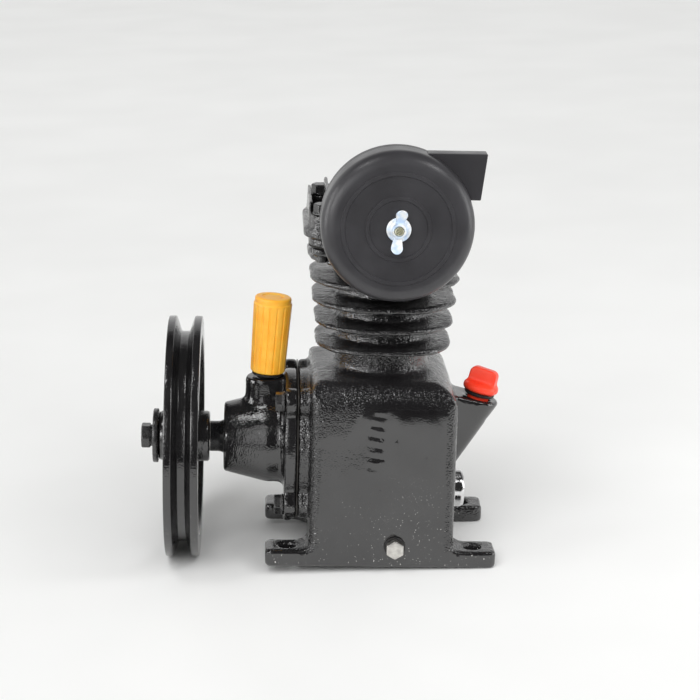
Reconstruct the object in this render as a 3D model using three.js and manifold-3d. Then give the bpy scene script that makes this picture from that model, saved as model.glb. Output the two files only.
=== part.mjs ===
// Belt-driven, single-cylinder, oil-lubricated reciprocating air-compressor pump.
// Millimetres, +Z up. The crankshaft lies along X with the flywheel at -X, and the intake
// filter faces -Y. The origin is the centre of the flat base, below the cylinder's axis.
import * as THREE from "three";
import { mergeVertices } from "three/addons/utils/BufferGeometryUtils.js";
import Module from "manifold-3d";

const wasm = await Module();
wasm.setup();

// ---- driving dimensions -------------------------------------------------------------

const FIT = 0.2; // radial gap of a part that turns or slides in another
const SEAT = 0.2; // gap between two faces that rest on each other

const FINE = 24; // sides of a large round part
const MEDIUM = 14;
const SMALL = 8;

const CRANK_Z = 81; // height of the crankshaft's axis
const STROKE = 32;
const THROW = STROKE / 2;
const BORE_R = 30;
const ROD_LENGTH = 90; // between the two eyes of the connecting rod

const CASE = { left: -53.5, right: 54, depth: 127, height: 140, wall: 6, floor: 8 };
const FOOT = { reach: 85.8, inner: 36.8, thick: 12.8, holeX: 69.2, holeY: 50, holeR: 5.9 };

const BARREL_R = 35;
const DECK_Z = 237; // the cylinder's top face
const DECK_THICK = 6;
const DECK_R = 47.5;
const FIN_PITCH = 16.5;
const FIN_FIRST_Z = 161;
const FIN_HALF = 1.9; // half the thickness of a fin
const FIN_FLAT = 15; // half of each straight side, between a fin's rounded corners
const FIN_REACH = [50.7, 52.1, 53.9, 55.6, 57.4]; // the fins widen towards the head

const FLANGE_R = 52.5;
const FLANGE_BOLT = 40; // each flange bolt's offset from the crank axis, along Y and along Z
const FLANGE_LOBE_R = 10;
const BOLT_HOLE_R = 4.4; // clearance for the M8 bolts of the carrier and the head
const TAPPED_HOLE_R = 4.1;
const CASE_FLANGE_X = -62; // face that the bearing carrier's gasket lies on
const GASKET = 0.8;
const CARRIER_FLANGE = 9;
const SNOUT = { x: -117.8, tipR: 26, coneEndX: -86, rootR: 34 };
const SPIGOT = { r: 39.7, endX: -41 };
const BREATHER_X = -87.2;
const BREATHER_Z = 129.3; // top of the breather boss
const CAP_X = -85.7; // the breather's own axis, a little right of its boss

const WHEEL = { r: 91, left: -160, right: -135, grooveR: 79.5, rimInnerR: 73, hubR: 19.2 };
const WHEEL_SPOKES = 6;
const BLADE_PITCH = 28; // degrees between a fan blade and the crank axis
const SHAFT = { hubR: 11.5, sealR: 12.5, middleR: 14, rearR: 15, collarR: 19 };
const FRONT_BEARING = { x0: -104, x1: -89, outerR: 26.1, ballR: 3.9, pitchR: 19.4 };
const REAR_BEARING = { x0: -60, x1: -44, outerR: 31, ballR: 4.3, pitchR: 23 };
const BALLS = 7;
const WEB = { x0: -30, x1: -12, counterR: 42 };
const CRANKPIN_R = 11;
const BIG_END = { boreR: 13.7, outerR: 19, half: 8.5 };
const SMALL_END = { boreR: 5.4, outerR: 8.5, half: 7.5 };
const PIN = { r: 5.2, half: 12 };

const PISTON = { r: 29.75, skirtR: 26.2, crownR: 24, top: DECK_Z - 0.7, bottom: 174.5 };
const RINGS = [
  { name: "compression_ring_top", z: 228, height: 2.2 },
  { name: "compression_ring_lower", z: 222, height: 2.2 },
  { name: "oil_control_ring", z: 215.5, height: 3.7 },
];

const HEAD_X = -2; // the head sits 2 mm left of the cylinder's axis
const HEAD = { width: 118, depth: 100, cornerR: 22, flange: 7, boltX: 45, boltY: 38 };
const VALVE_PLATE = 4.8;
const PLATE_Z = DECK_Z + GASKET + 2 * SEAT;
const HEAD_Z = PLATE_Z + VALVE_PLATE + GASKET + 2 * SEAT;
const HEAD_FINS = [
  { offset: 6, top: 284 },
  { offset: 18, top: 283 },
  { offset: 30, top: 281 },
  { offset: 42, top: 277 },
  { offset: 54, top: 270 },
];

const HEAD_FIN = { root: 2, tip: 1 }; // half thickness at a head fin's foot and at its edge
const HEAD_BOLT_SEAT = 261.5;
const HEAD_CORE_TOP = 266;
const DELIVERY = { z: 261, face: 55, bossR: 14, boreR: 8.3 };

const FILTER = { x: 3.5, z: 264, faceY: -96.5, r: 54, edgeR: 11, depth: 30, wall: 2.2 };
const NECK_R = 14; // filter neck that plugs into the head

const PLUG = { x: 74.6, z: 115.2, tiltDegrees: 12.8, threadR: 8.6, flangeR: 13.6, boreDepth: 15.5 };
const GLASS = { z: 41.5, r: 15.8, proud: 12, lensR: 10.5 };
const DRAIN = { x: 10.1, z: 16.7, acrossFlats: 12.5 };

// ---- solids -------------------------------------------------------------------------

const ALONG_X = new THREE.Matrix4().makeBasis(
  new THREE.Vector3(0, 1, 0),
  new THREE.Vector3(0, 0, 1),
  new THREE.Vector3(1, 0, 0),
);
const ALONG_Y = new THREE.Matrix4().makeBasis(
  new THREE.Vector3(1, 0, 0),
  new THREE.Vector3(0, 0, 1),
  new THREE.Vector3(0, -1, 0),
);

// A closed three.js geometry as a solid, its faces turned outwards.
function toSolid(geometry) {
  const bare = new THREE.BufferGeometry();
  bare.setAttribute("position", geometry.getAttribute("position"));
  bare.setIndex(geometry.getIndex());
  const merged = mergeVertices(bare, 1e-4);
  const positions = merged.getAttribute("position").array;
  const index = merged.getIndex().array;
  const corners = [];
  let volume = 0;
  const [a, b, c] = [new THREE.Vector3(), new THREE.Vector3(), new THREE.Vector3()];
  for (let i = 0; i < index.length; i += 3) {
    const [p, q, r] = [index[i], index[i + 1], index[i + 2]];
    if (p === q || q === r || r === p) continue;
    corners.push(p, q, r);
    a.fromArray(positions, 3 * p);
    b.fromArray(positions, 3 * q);
    c.fromArray(positions, 3 * r);
    volume += a.dot(b.cross(c));
  }
  if (volume < 0) corners.reverse();
  const mesh = new wasm.Mesh({
    numProp: 3,
    vertProperties: new Float32Array(positions),
    triVerts: new Uint32Array(corners),
  });
  return new wasm.Manifold(mesh);
}

function toGeometry(solid) {
  const mesh = solid.getMesh();
  const geometry = new THREE.BufferGeometry();
  geometry.setAttribute("position", new THREE.BufferAttribute(mesh.vertProperties, 3));
  geometry.setIndex(new THREE.BufferAttribute(mesh.triVerts, 1));
  geometry.computeVertexNormals();
  return geometry;
}

const join = (...solids) => solids.reduce((all, next) => all.add(next));
const cut = (solid, ...tools) => tools.reduce((rest, tool) => rest.subtract(tool), solid);
const common = (...solids) => solids.reduce((all, next) => all.intersect(next));

// A turned solid. The profile holds [radius, place along the axis] pairs; it runs from axis
// to axis, or it is closed when its first and last pairs are equal.
function turned(profile, axis = "z", sides = FINE) {
  const points = profile.map(([r, along]) => new THREE.Vector2(r, along));
  const geometry = new THREE.LatheGeometry(points, sides);
  if (axis === "x") geometry.rotateZ(-Math.PI / 2);
  if (axis === "z") geometry.rotateX(Math.PI / 2);
  return toSolid(geometry);
}

function round(r, from, to, axis = "z", sides = MEDIUM) {
  return turned([[0, from], [r, from], [r, to], [0, to]], axis, sides);
}

function ring(outer, inner, from, to, axis = "z", sides = FINE) {
  const profile = [[inner, from], [outer, from], [outer, to], [inner, to], [inner, from]];
  return turned(profile, axis, sides);
}

// A flat outline pushed along an axis: drawn in X,Y for z, in Y,Z for x and in X,Z for y.
function prism(shape, from, to, axis = "z", curveSegments = 6) {
  const options = { depth: to - from, bevelEnabled: false, curveSegments };
  const geometry = new THREE.ExtrudeGeometry(shape, options);
  if (axis === "z") geometry.translate(0, 0, from);
  if (axis === "x") geometry.applyMatrix4(ALONG_X).translate(from, 0, 0);
  if (axis === "y") geometry.applyMatrix4(ALONG_Y).translate(0, to, 0);
  return toSolid(geometry);
}

function block(x0, x1, y0, y1, z0, z1) {
  const geometry = new THREE.BoxGeometry(x1 - x0, y1 - y0, z1 - z0);
  geometry.translate((x0 + x1) / 2, (y0 + y1) / 2, (z0 + z1) / 2);
  return toSolid(geometry);
}

function roundedRect(x, y, width, height, r) {
  const [left, right] = [x - width / 2, x + width / 2];
  const [low, high] = [y - height / 2, y + height / 2];
  const shape = new THREE.Shape();
  shape.moveTo(left + r, low);
  shape.lineTo(right - r, low);
  shape.absarc(right - r, low + r, r, -Math.PI / 2, 0);
  shape.lineTo(right, high - r);
  shape.absarc(right - r, high - r, r, 0, Math.PI / 2);
  shape.lineTo(left + r, high);
  shape.absarc(left + r, high - r, r, Math.PI / 2, Math.PI);
  shape.lineTo(left, low + r);
  shape.absarc(left + r, low + r, r, Math.PI, 1.5 * Math.PI);
  return shape;
}

function polygon(points) {
  return new THREE.Shape(points.map(([x, y]) => new THREE.Vector2(x, y)));
}

function hexagon(acrossFlats, turn = 0) {
  const r = acrossFlats / Math.sqrt(3);
  const angles = [0, 1, 2, 3, 4, 5].map((i) => turn + (i * Math.PI) / 3);
  return polygon(angles.map((angle) => [r * Math.cos(angle), r * Math.sin(angle)]));
}

// A box-like outline with its two upper corners rounded by different radii.
function shouldered(left, right, top, leftR, rightR, bottom = 0) {
  const shape = new THREE.Shape();
  shape.moveTo(left, bottom);
  shape.lineTo(right, bottom);
  shape.lineTo(right, top - rightR);
  shape.absarc(right - rightR, top - rightR, rightR, 0, Math.PI / 2);
  shape.lineTo(left + leftR, top);
  shape.absarc(left + leftR, top - leftR, leftR, Math.PI / 2, Math.PI);
  return shape;
}

// A solid between two outlines that have the same number of points.
function lofted(bottom, top) {
  const n = bottom.length;
  const positions = [...bottom, ...top].flat();
  const faces = THREE.ShapeUtils.triangulateShape(
    bottom.map(([x, y]) => new THREE.Vector2(x, y)),
    [],
  );
  const index = [];
  for (const [a, b, c] of faces) {
    index.push(c, b, a, n + a, n + b, n + c);
  }
  for (let i = 0; i < n; i += 1) {
    const j = (i + 1) % n;
    index.push(i, j, n + j, i, n + j, n + i);
  }
  const geometry = new THREE.BufferGeometry();
  geometry.setAttribute("position", new THREE.Float32BufferAttribute(positions, 3));
  geometry.setIndex(index);
  return toSolid(geometry);
}

const moved = (solid, x, y, z) => solid.translate([x, y, z]);
const signs = [-1, 1];
const corners = signs.flatMap((sx) => signs.map((sy) => [sx, sy]));

// ---- scene --------------------------------------------------------------------------

const paint = (color, roughness, metalness) =>
  new THREE.MeshStandardMaterial({ color, roughness, metalness });

const MATERIAL = {
  enamel: paint(0x141416, 0.22, 0.1),
  blackSteel: paint(0x1b1b1d, 0.45, 0.6),
  blackPlastic: paint(0x2a2a2d, 0.55, 0),
  orangePlastic: paint(0xf39a1c, 0.4, 0),
  redPlastic: paint(0xe2331c, 0.35, 0),
  zinc: paint(0xb9c4d6, 0.3, 0.9),
  brass: paint(0xc9a94f, 0.3, 1),
  chrome: paint(0xdfe2e6, 0.08, 1),
  steel: paint(0xa8aaae, 0.3, 1),
  castIron: paint(0x55565a, 0.6, 0.8),
  aluminium: paint(0xb6b9bd, 0.4, 0.9),
  gasket: paint(0x4c4f48, 0.85, 0),
  rubber: paint(0x161616, 0.8, 0),
  glass: paint(0xdfe7e2, 0.05, 0),
  paper: paint(0xd8cfa8, 0.9, 0),
};

const pump = new THREE.Group();

function assembly(x = 0, y = 0, z = 0) {
  const group = new THREE.Group();
  group.position.set(x, y, z);
  pump.add(group);
  return group;
}

function part(name, solid, material, parent = pump) {
  const mesh = new THREE.Mesh(toGeometry(solid), material);
  mesh.name = name;
  parent.add(mesh);
  return mesh;
}

// ---- crankcase, cast in one with the feet and the finned cylinder --------------------

// Round flange with four bolt lobes, about the crank axis.
function lobedFlange(from, to) {
  const lobe = ([sy, sz]) =>
    moved(round(FLANGE_LOBE_R, from, to, "x", SMALL), 0, sy * FLANGE_BOLT, sz * FLANGE_BOLT);
  return join(round(FLANGE_R, from, to, "x", FINE), ...corners.map(lobe));
}

function flangeHoles(r, from, to) {
  return join(
    ...corners.map(([sy, sz]) =>
      moved(round(r, from, to, "x", SMALL), 0, sy * FLANGE_BOLT, sz * FLANGE_BOLT),
    ),
  );
}

function caseBox(left, right, halfDepth, bottom, top, shoulder, steps) {
  const middle = (left + right) / 2;
  const side = shouldered(left, right, top, 6, shoulder + 1, bottom);
  const front = shouldered(-halfDepth, halfDepth, top, shoulder, shoulder, bottom);
  const plan = roundedRect(middle, 0, right - left, 2 * halfDepth, 7);
  return common(
    prism(side, -halfDepth, halfDepth, "y", steps),
    prism(front, left, right, "x", steps),
    prism(plan, bottom, top, "z", steps),
  );
}

function foot(sx, sy) {
  const inner = sx * 48;
  const outer = sx * FOOT.reach;
  const edge = sy * (CASE.depth / 2);
  const near = sy * FOOT.inner;
  const outline = polygon([
    [inner, edge],
    [outer - sx * 4, edge],
    [outer, edge - sy * 4],
    [outer, near + sy * 4],
    [outer - sx * 4, near],
    [sx * 63, near],
    [sx * 52, near - sy * 7],
    [inner, near - sy * 8],
  ]);
  const hole = round(FOOT.holeR, -1, FOOT.thick + 1, "z", SMALL);
  return cut(prism(outline, 0, FOOT.thick), moved(hole, sx * FOOT.holeX, sy * FOOT.holeY, 0));
}

function barrel() {
  const underDeck = DECK_Z - DECK_THICK;
  const foot = [[0, 130], [44, 130], [43, 139], [38, 142], [BARREL_R, 147]];
  const deck = [[BARREL_R, underDeck - 1], [DECK_R, underDeck], [DECK_R, DECK_Z], [0, DECK_Z]];
  const fins = FIN_REACH.map((reach, i) => {
    const z = FIN_FIRST_Z + i * FIN_PITCH;
    const outline = roundedRect(0, 0, 2 * reach, 2 * reach, reach - FIN_FLAT);
    return prism(outline, z - FIN_HALF, z + FIN_HALF, "z", 7);
  });
  return join(turned([...foot, ...deck], "z", FINE), ...fins);
}

const headBolts = (build) => join(...corners.map(([sx, sy]) => build(sx, sy)));
const atHeadBolt = (solid, sx, sy) => moved(solid, HEAD_X + sx * HEAD.boltX, sy * HEAD.boltY, 0);

// Arm of the cylinder's top flange, out to a head bolt.
function deckLobe(sx, sy) {
  const [x, y] = [HEAD_X + sx * HEAD.boltX, sy * HEAD.boltY];
  const arm = block(0, Math.hypot(x, y), -8, 8, DECK_Z - DECK_THICK, DECK_Z);
  const angle = THREE.MathUtils.radToDeg(Math.atan2(y, x));
  const end = round(8.3, DECK_Z - DECK_THICK, DECK_Z, "z", SMALL);
  return join(arm.rotate([0, 0, angle]), atHeadBolt(end, sx, sy));
}

// Wedge-shaped filler neck on the right side: a round-nosed top that narrows down the wall.
function fillerNeck() {
  const nose = 7; // steps round the nose
  const outline = (wall, tip, half, z, slope) => {
    const points = [[wall, -half, z]];
    for (let i = 0; i <= nose; i += 1) {
      const angle = -Math.PI / 2 + (i * Math.PI) / nose;
      const x = tip - half + half * Math.cos(angle);
      points.push([x, half * Math.sin(angle), z - slope * (x - wall)]);
    }
    points.push([wall, half, z]);
    return points;
  };
  const top = outline(50, 90.6, 16, 120.6, Math.tan(THREE.MathUtils.degToRad(PLUG.tiltDegrees)));
  const bottom = outline(50, 56.5, 6, 58, 0);
  return lofted(bottom, top);
}

function buildCrankcase() {
  const cavity = caseBox(
    CASE.left + CASE.wall,
    CASE.right - CASE.wall,
    CASE.depth / 2 - CASE.wall,
    CASE.floor,
    CASE.height - 8,
    14,
    1,
  );
  const shell = join(
    caseBox(CASE.left, CASE.right, CASE.depth / 2, 0, CASE.height, 19, 2),
    moved(lobedFlange(CASE_FLANGE_X, -50), 0, 0, CRANK_Z),
    ...corners.map(([sx, sy]) => foot(sx, sy)),
    barrel(),
    headBolts(deckLobe),
    fillerNeck(),
  );
  const plugBore = round(PLUG.threadR + 0.7, -PLUG.boreDepth, 6, "z", MEDIUM);
  const plugHole = plugBore.rotate([0, PLUG.tiltDegrees, 0]);
  const fillerPassage = block(40, 70, -7, 7, 94, 107);
  const spigotHole = round(SPIGOT.r + 0.3, CASE_FLANGE_X - 1, CASE.left + CASE.wall + 1, "x", FINE);
  return cut(
    shell,
    cavity,
    fillerPassage,
    round(BORE_R, 125, DECK_Z + 1, "z", FINE),
    moved(spigotHole, 0, 0, CRANK_Z),
    moved(flangeHoles(TAPPED_HOLE_R, CASE_FLANGE_X - 1, -49.5), 0, 0, CRANK_Z),
    headBolts((sx, sy) => atHeadBolt(round(TAPPED_HOLE_R, 225, DECK_Z + 1, "z", SMALL), sx, sy)),
    moved(plugHole, PLUG.x, 0, PLUG.z),
    moved(round(9.6, 40, 60, "x", MEDIUM), 0, 0, GLASS.z),
    moved(round(4.6, -70, -50, "y", SMALL), DRAIN.x, 0, DRAIN.z),
  );
}

part("crankcase_with_cylinder", buildCrankcase(), MATERIAL.enamel);

// ---- bearing carrier ----------------------------------------------------------------

const crankLine = assembly(0, 0, CRANK_Z);
const carrierFlangeX = CASE_FLANGE_X - GASKET - 2 * SEAT; // the carrier's face on the gasket

function buildCarrier() {
  const left = carrierFlangeX - CARRIER_FLANGE;
  const body = join(
    turned([
      [0, SNOUT.x], [SNOUT.tipR - 1.5, SNOUT.x], [SNOUT.tipR, SNOUT.x + 1.5],
      [SNOUT.rootR, SNOUT.coneEndX], [SNOUT.rootR, left + 1], [0, left + 1],
    ], "x"),
    lobedFlange(left, carrierFlangeX),
    round(SPIGOT.r, carrierFlangeX - 1, SPIGOT.endX, "x", FINE),
    moved(round(14.5, 0, BREATHER_Z - CRANK_Z, "z", MEDIUM), BREATHER_X, 0, 0),
  );
  const [frontR, rearR] = [FRONT_BEARING.outerR + 2 * FIT, REAR_BEARING.outerR + 2 * FIT];
  const bore = turned([
    [0, SNOUT.x - 1], [19, SNOUT.x - 1], [19, -108.6], [16, -108.6], [16, FRONT_BEARING.x0 - SEAT],
    [frontR, FRONT_BEARING.x0 - SEAT], [frontR, REAR_BEARING.x0 - 3],
    [rearR, REAR_BEARING.x0 - 0.4], [rearR, SPIGOT.endX + 1],
    [0, SPIGOT.endX + 1],
  ], "x");
  return cut(
    body,
    bore,
    flangeHoles(BOLT_HOLE_R, left - 1, carrierFlangeX + 1),
    moved(round(7, 15, BREATHER_Z - CRANK_Z + 1, "z", SMALL), CAP_X, 0, 0),
  );
}

part("bearing_carrier", buildCarrier(), MATERIAL.enamel, crankLine);

part(
  "carrier_gasket",
  cut(
    lobedFlange(carrierFlangeX + SEAT, CASE_FLANGE_X - SEAT),
    round(SPIGOT.r + 0.3, -70, -60, "x", FINE),
    flangeHoles(BOLT_HOLE_R, -70, -60),
  ),
  MATERIAL.gasket,
  crankLine,
);

// Hex bolt with its washer in one piece, head towards +Z, shank down to -length.
function hexBolt(acrossFlats, headHeight, shankR, length, washerR) {
  return join(
    prism(hexagon(acrossFlats), 1.6, 1.6 + headHeight),
    round(washerR, 0, 1.8, "z", SMALL),
    round(shankR, -length, 0.5, "z", SMALL),
  );
}

corners.forEach(([sy, sz], i) => {
  const bolt = hexBolt(13, 5.6, 3.8, 21.5, 8);
  const mesh = part(`carrier_bolt_${i + 1}`, bolt, MATERIAL.blackSteel, crankLine);
  mesh.position.set(carrierFlangeX - CARRIER_FLANGE - SEAT, sy * FLANGE_BOLT, sz * FLANGE_BOLT);
  mesh.rotation.y = -Math.PI / 2;
});

part("shaft_seal", ring(18.8, SHAFT.sealR + 0.3, -117.4, -109.2, "x"), MATERIAL.rubber, crankLine);

// Deep-groove ball bearing: two grooved rings, and the balls joined by their cage. The rings
// have flat sides, so the grooves are cut deep enough for the balls to pass over the flats.
function ballBearing(prefix, { x0, x1, outerR, ballR, pitchR }, shaftR) {
  const middle = (x0 + x1) / 2;
  const grooveR = ballR + 1;
  const shoulder = 2.6; // ring shoulder's distance from the balls' pitch circle
  const half = Math.sqrt(grooveR ** 2 - shoulder ** 2);
  const groove = [1, 0, -1].map((t) => [
    Math.sqrt(grooveR ** 2 - (t * half) ** 2),
    middle + t * half,
  ]);
  // Profile of one ring, from its plain wall across to its groove; side is 1 for the outer ring.
  const ringProfile = (wallR, side) => [
    [pitchR + side * shoulder, x0],
    [wallR, x0],
    [wallR, x1],
    [pitchR + side * shoulder, x1],
    ...groove.map(([depth, x]) => [pitchR + side * depth, x]),
    [pitchR + side * shoulder, x0],
  ];
  const rings = { outer: ringProfile(outerR, 1), inner: ringProfile(shaftR + 0.35, -1) };
  for (const [side, profile] of Object.entries(rings)) {
    part(`${prefix}_bearing_${side}_ring`, turned(profile, "x", 20), MATERIAL.steel, crankLine);
  }

  const ball = toSolid(new THREE.SphereGeometry(ballR, 6, 3));
  const balls = Array.from({ length: BALLS }, (_, i) => {
    const angle = (2 * Math.PI * i) / BALLS;
    return moved(ball, middle, pitchR * Math.cos(angle), pitchR * Math.sin(angle));
  });
  const cage = ring(pitchR + 1.2, pitchR - 1.2, middle - 2, middle + 2, "x", 14);
  part(`${prefix}_bearing_balls_and_cage`, join(cage, ...balls), MATERIAL.steel, crankLine);
}

ballBearing("front", FRONT_BEARING, SHAFT.sealR);
ballBearing("rear", REAR_BEARING, SHAFT.rearR);

// ---- crankshaft, flywheel and connecting rod ----------------------------------------

const KEY = { x0: -159, x1: -135, width: 5, low: 8.6, high: 13.4 };

function buildCrankshaft() {
  const line = turned([
    [0, -163.6], [SHAFT.hubR - 1, -163.6], [SHAFT.hubR, -162.6], [SHAFT.hubR, -120],
    [SHAFT.sealR, -119], [SHAFT.sealR, FRONT_BEARING.x1 + 0.1],
    [SHAFT.middleR, FRONT_BEARING.x1 + 0.1],
    [SHAFT.middleR, REAR_BEARING.x0 - 3], [SHAFT.rearR, REAR_BEARING.x0 - 2],
    [SHAFT.rearR, REAR_BEARING.x1 + 0.1], [SHAFT.collarR, REAR_BEARING.x1 + 0.1],
    [SHAFT.collarR, WEB.x0 + 1], [0, WEB.x0 + 1],
  ], "x");
  const lowerHalf = polygon([[-50, -50], [50, -50], [38, -4], [-38, -4]]);
  const counterweight = common(
    prism(lowerHalf, WEB.x0, WEB.x1, "x"),
    round(WEB.counterR, WEB.x0, WEB.x1, "x", FINE),
  );
  const web = join(
    round(20, WEB.x0, WEB.x1, "x", MEDIUM),
    moved(round(15.5, WEB.x0, WEB.x1, "x", MEDIUM), 0, 0, THROW),
    counterweight,
  );
  const [pinStart, pinEnd] = [-BIG_END.half - 0.5, BIG_END.half + 0.6];
  const pin = turned([
    [0, WEB.x1 - 1], [14, WEB.x1 - 1], [14, pinStart], [CRANKPIN_R, pinStart],
    [CRANKPIN_R, pinEnd], [0, pinEnd],
  ], "x", MEDIUM);
  const halfSlot = KEY.width / 2 + 0.1;
  return cut(
    join(line, web, moved(pin, 0, 0, THROW)),
    block(KEY.x0 - 0.3, KEY.x1 + 0.3, -halfSlot, halfSlot, KEY.low - 0.2, 20),
    round(5.2, -170, -138, "x", SMALL),
    moved(round(4.1, -8, 20, "x", SMALL), 0, 0, THROW),
  );
}

part("crankshaft", buildCrankshaft(), MATERIAL.steel, crankLine);
part(
  "flywheel_key",
  block(KEY.x0, KEY.x1, -KEY.width / 2, KEY.width / 2, KEY.low, KEY.high),
  MATERIAL.steel,
  crankLine,
);

function buildFlywheel() {
  const { r, left, right, grooveR, rimInnerR, hubR } = WHEEL;
  const middle = (left + right) / 2;
  const lip = 5.5; // width of the rim on each side of the belt groove
  const rim = turned([
    [r, left], [r, left + lip], [grooveR, middle - 3], [grooveR, middle + 3], [r, right - lip],
    [r, right], [rimInnerR + 3.5, right], [rimInnerR, middle], [rimInnerR + 3.5, left], [r, left],
  ], "x", 40);
  const hub = join(
    ring(hubR, SHAFT.hubR + FIT, -164.2, -128.4, "x"),
    ring(18.5, SHAFT.hubR + FIT, -167, -164, "x"),
  );
  // One fan blade: its outline as distance from the axis and width, pitched about its own radius.
  const outline = polygon([
    [17.2, -16], [48, -17.5], [62, -11], [74.2, -10], [74.2, 10], [62, 11], [48, 17.5], [17.2, 16],
  ]);
  const blade = prism(outline, -2.6, 2.6).rotate([0, 0, 90]).rotate([0, BLADE_PITCH, 0]);
  const blades = Array.from({ length: WHEEL_SPOKES }, (_, i) =>
    moved(blade.rotate([(360 * (i + 0.35)) / WHEEL_SPOKES, 0, 0]), middle, 0, 0),
  );
  const halfKeyway = KEY.width / 2 + 0.1;
  const keyway = block(-170, -120, -halfKeyway, halfKeyway, 0, KEY.high + FIT);
  return cut(join(rim, hub, ...blades), keyway, round(SHAFT.hubR + FIT, -170, -120, "x", FINE));
}

part("flywheel", buildFlywheel(), MATERIAL.enamel, crankLine);

part("flywheel_washer", ring(20.5, 5.6, -171.2, -167.2, "x"), MATERIAL.blackSteel, crankLine);
part(
  "flywheel_bolt",
  join(
    prism(hexagon(17), -180.3, -173.6, "x"),
    round(8.2, -174, -171.4, "x", SMALL),
    round(4.9, -172, -144, "x", SMALL),
  ),
  MATERIAL.blackSteel,
  crankLine,
);

const pinZ = THROW; // crankpin, above the crank axis at rest
const wristZ = THROW + ROD_LENGTH;

function buildRod() {
  const shank = polygon([[-9, pinZ + 10], [9, pinZ + 10], [6, wristZ - 4], [-6, wristZ - 4]]);
  const dipper = polygon([[-3, pinZ - 15], [-2, pinZ - 42], [2, pinZ - 42], [3, pinZ - 15]]);
  return cut(
    join(
      moved(round(BIG_END.outerR, -BIG_END.half, BIG_END.half, "x", MEDIUM), 0, 0, pinZ),
      moved(round(SMALL_END.outerR, -SMALL_END.half, SMALL_END.half, "x", MEDIUM), 0, 0, wristZ),
      prism(shank, -5, 5, "x"),
      prism(dipper, -4, 4, "x"),
    ),
    moved(round(BIG_END.boreR, -10, 10, "x", MEDIUM), 0, 0, pinZ),
    moved(round(SMALL_END.boreR, -10, 10, "x", MEDIUM), 0, 0, wristZ),
  );
}

part("connecting_rod", buildRod(), MATERIAL.aluminium, crankLine);
const bush = ring(BIG_END.boreR - 0.15, CRANKPIN_R + 2 * FIT, -BIG_END.half, BIG_END.half, "x", MEDIUM);
part("big_end_bush", moved(bush, 0, 0, pinZ), MATERIAL.brass, crankLine);
const wristPin = round(PIN.r, -PIN.half, PIN.half, "x", MEDIUM);
part("wrist_pin", moved(wristPin, 0, 0, wristZ), MATERIAL.steel, crankLine);
part(
  "rod_retaining_bolt",
  moved(
    join(
      prism(hexagon(13), BIG_END.half + 3.6, BIG_END.half + 9, "x"),
      round(15, BIG_END.half + 0.9, BIG_END.half + 3.8, "x", MEDIUM),
      round(3.8, -6, BIG_END.half + 2, "x", SMALL),
    ),
    0, 0, pinZ,
  ),
  MATERIAL.steel,
  crankLine,
);

// ---- piston and rings ---------------------------------------------------------------

const pinLine = CRANK_Z + wristZ; // the wrist pin's height at top dead centre

function buildPiston() {
  const profile = [[0, PISTON.top], [PISTON.r - 1, PISTON.top], [PISTON.r, PISTON.top - 1]];
  for (const { z, height } of RINGS) {
    profile.push([PISTON.r, z + height], [26.9, z + height], [26.9, z], [PISTON.r, z]);
  }
  profile.push(
    [PISTON.r, PISTON.bottom],
    [PISTON.skirtR, PISTON.bottom],
    [PISTON.skirtR, 212],
    [PISTON.crownR, 214.5],
    [PISTON.crownR, 228],
    [PISTON.crownR - 2, 229.6],
    [0, 229.6],
  );
  const bosses = signs.map((side) => {
    const [from, to] = side < 0 ? [-27, -PIN.half - 0.7] : [PIN.half + 0.7, 27];
    return moved(round(9.5, from, to, "x", MEDIUM), 0, 0, pinLine);
  });
  const pinHole = moved(round(PIN.r + 0.2, -40, 40, "x", MEDIUM), 0, 0, pinLine);
  const insideSkirt = round(28, 170, 232, "z", FINE);
  const body = turned(profile, "z", FINE);
  return cut(join(body, ...bosses.map((boss) => common(boss, insideSkirt))), pinHole);
}

part("piston", buildPiston(), MATERIAL.aluminium);
RINGS.forEach(({ name, z, height }, i) => {
  const gap = block(20, 40, -0.5, 0.5, z - 1, z + height + 1).rotate([0, 0, 120 * i]);
  const spring = ring(PISTON.r + 0.04, 27.2, z + 0.15, z + height - 0.15, "z", FINE);
  part(name, cut(spring, gap), MATERIAL.castIron);
});

// ---- gaskets, valve plate and reeds -------------------------------------------------

const headOutline = () => roundedRect(HEAD_X, 0, HEAD.width - 8, HEAD.depth - 8, HEAD.cornerR - 4);
const boltHoles = (r, from, to) =>
  headBolts((sx, sy) => atHeadBolt(round(r, from, to, "z", SMALL), sx, sy));

part(
  "cylinder_gasket",
  cut(
    prism(headOutline(), DECK_Z + SEAT, DECK_Z + SEAT + GASKET, "z", 4),
    round(BORE_R + 1, 230, 245, "z", FINE),
    boltHoles(BOLT_HOLE_R, 230, 245),
  ),
  MATERIAL.gasket,
);

const PORT = { y: 16, x: 8, r: 4 };
const portHoles = signs.flatMap((sy) =>
  signs.map((sx) => moved(round(PORT.r, 230, 250, "z", SMALL), sx * PORT.x, sy * PORT.y, 0)),
);
const PLATE_TOP = PLATE_Z + VALVE_PLATE;
part(
  "valve_plate",
  cut(prism(headOutline(), PLATE_Z, PLATE_TOP, "z", 4), boltHoles(BOLT_HOLE_R, 230, 250), ...portHoles),
  MATERIAL.steel,
);

// The suction reed closes its ports from below and the delivery reed closes its own from above.
part(
  "suction_reed",
  prism(roundedRect(0, -PORT.y, 26, 15, 6), PLATE_Z - 0.55, PLATE_Z - 0.2, "z", 2),
  MATERIAL.steel,
);
part(
  "delivery_reed",
  prism(roundedRect(0, PORT.y, 26, 15, 6), PLATE_TOP + 0.2, PLATE_TOP + 0.6, "z", 2),
  MATERIAL.steel,
);
part(
  "delivery_reed_stop",
  prism(roundedRect(0, PORT.y, 30, 12, 3), PLATE_TOP + 2.4, PLATE_TOP + 4.4, "z", 2),
  MATERIAL.steel,
);

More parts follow.
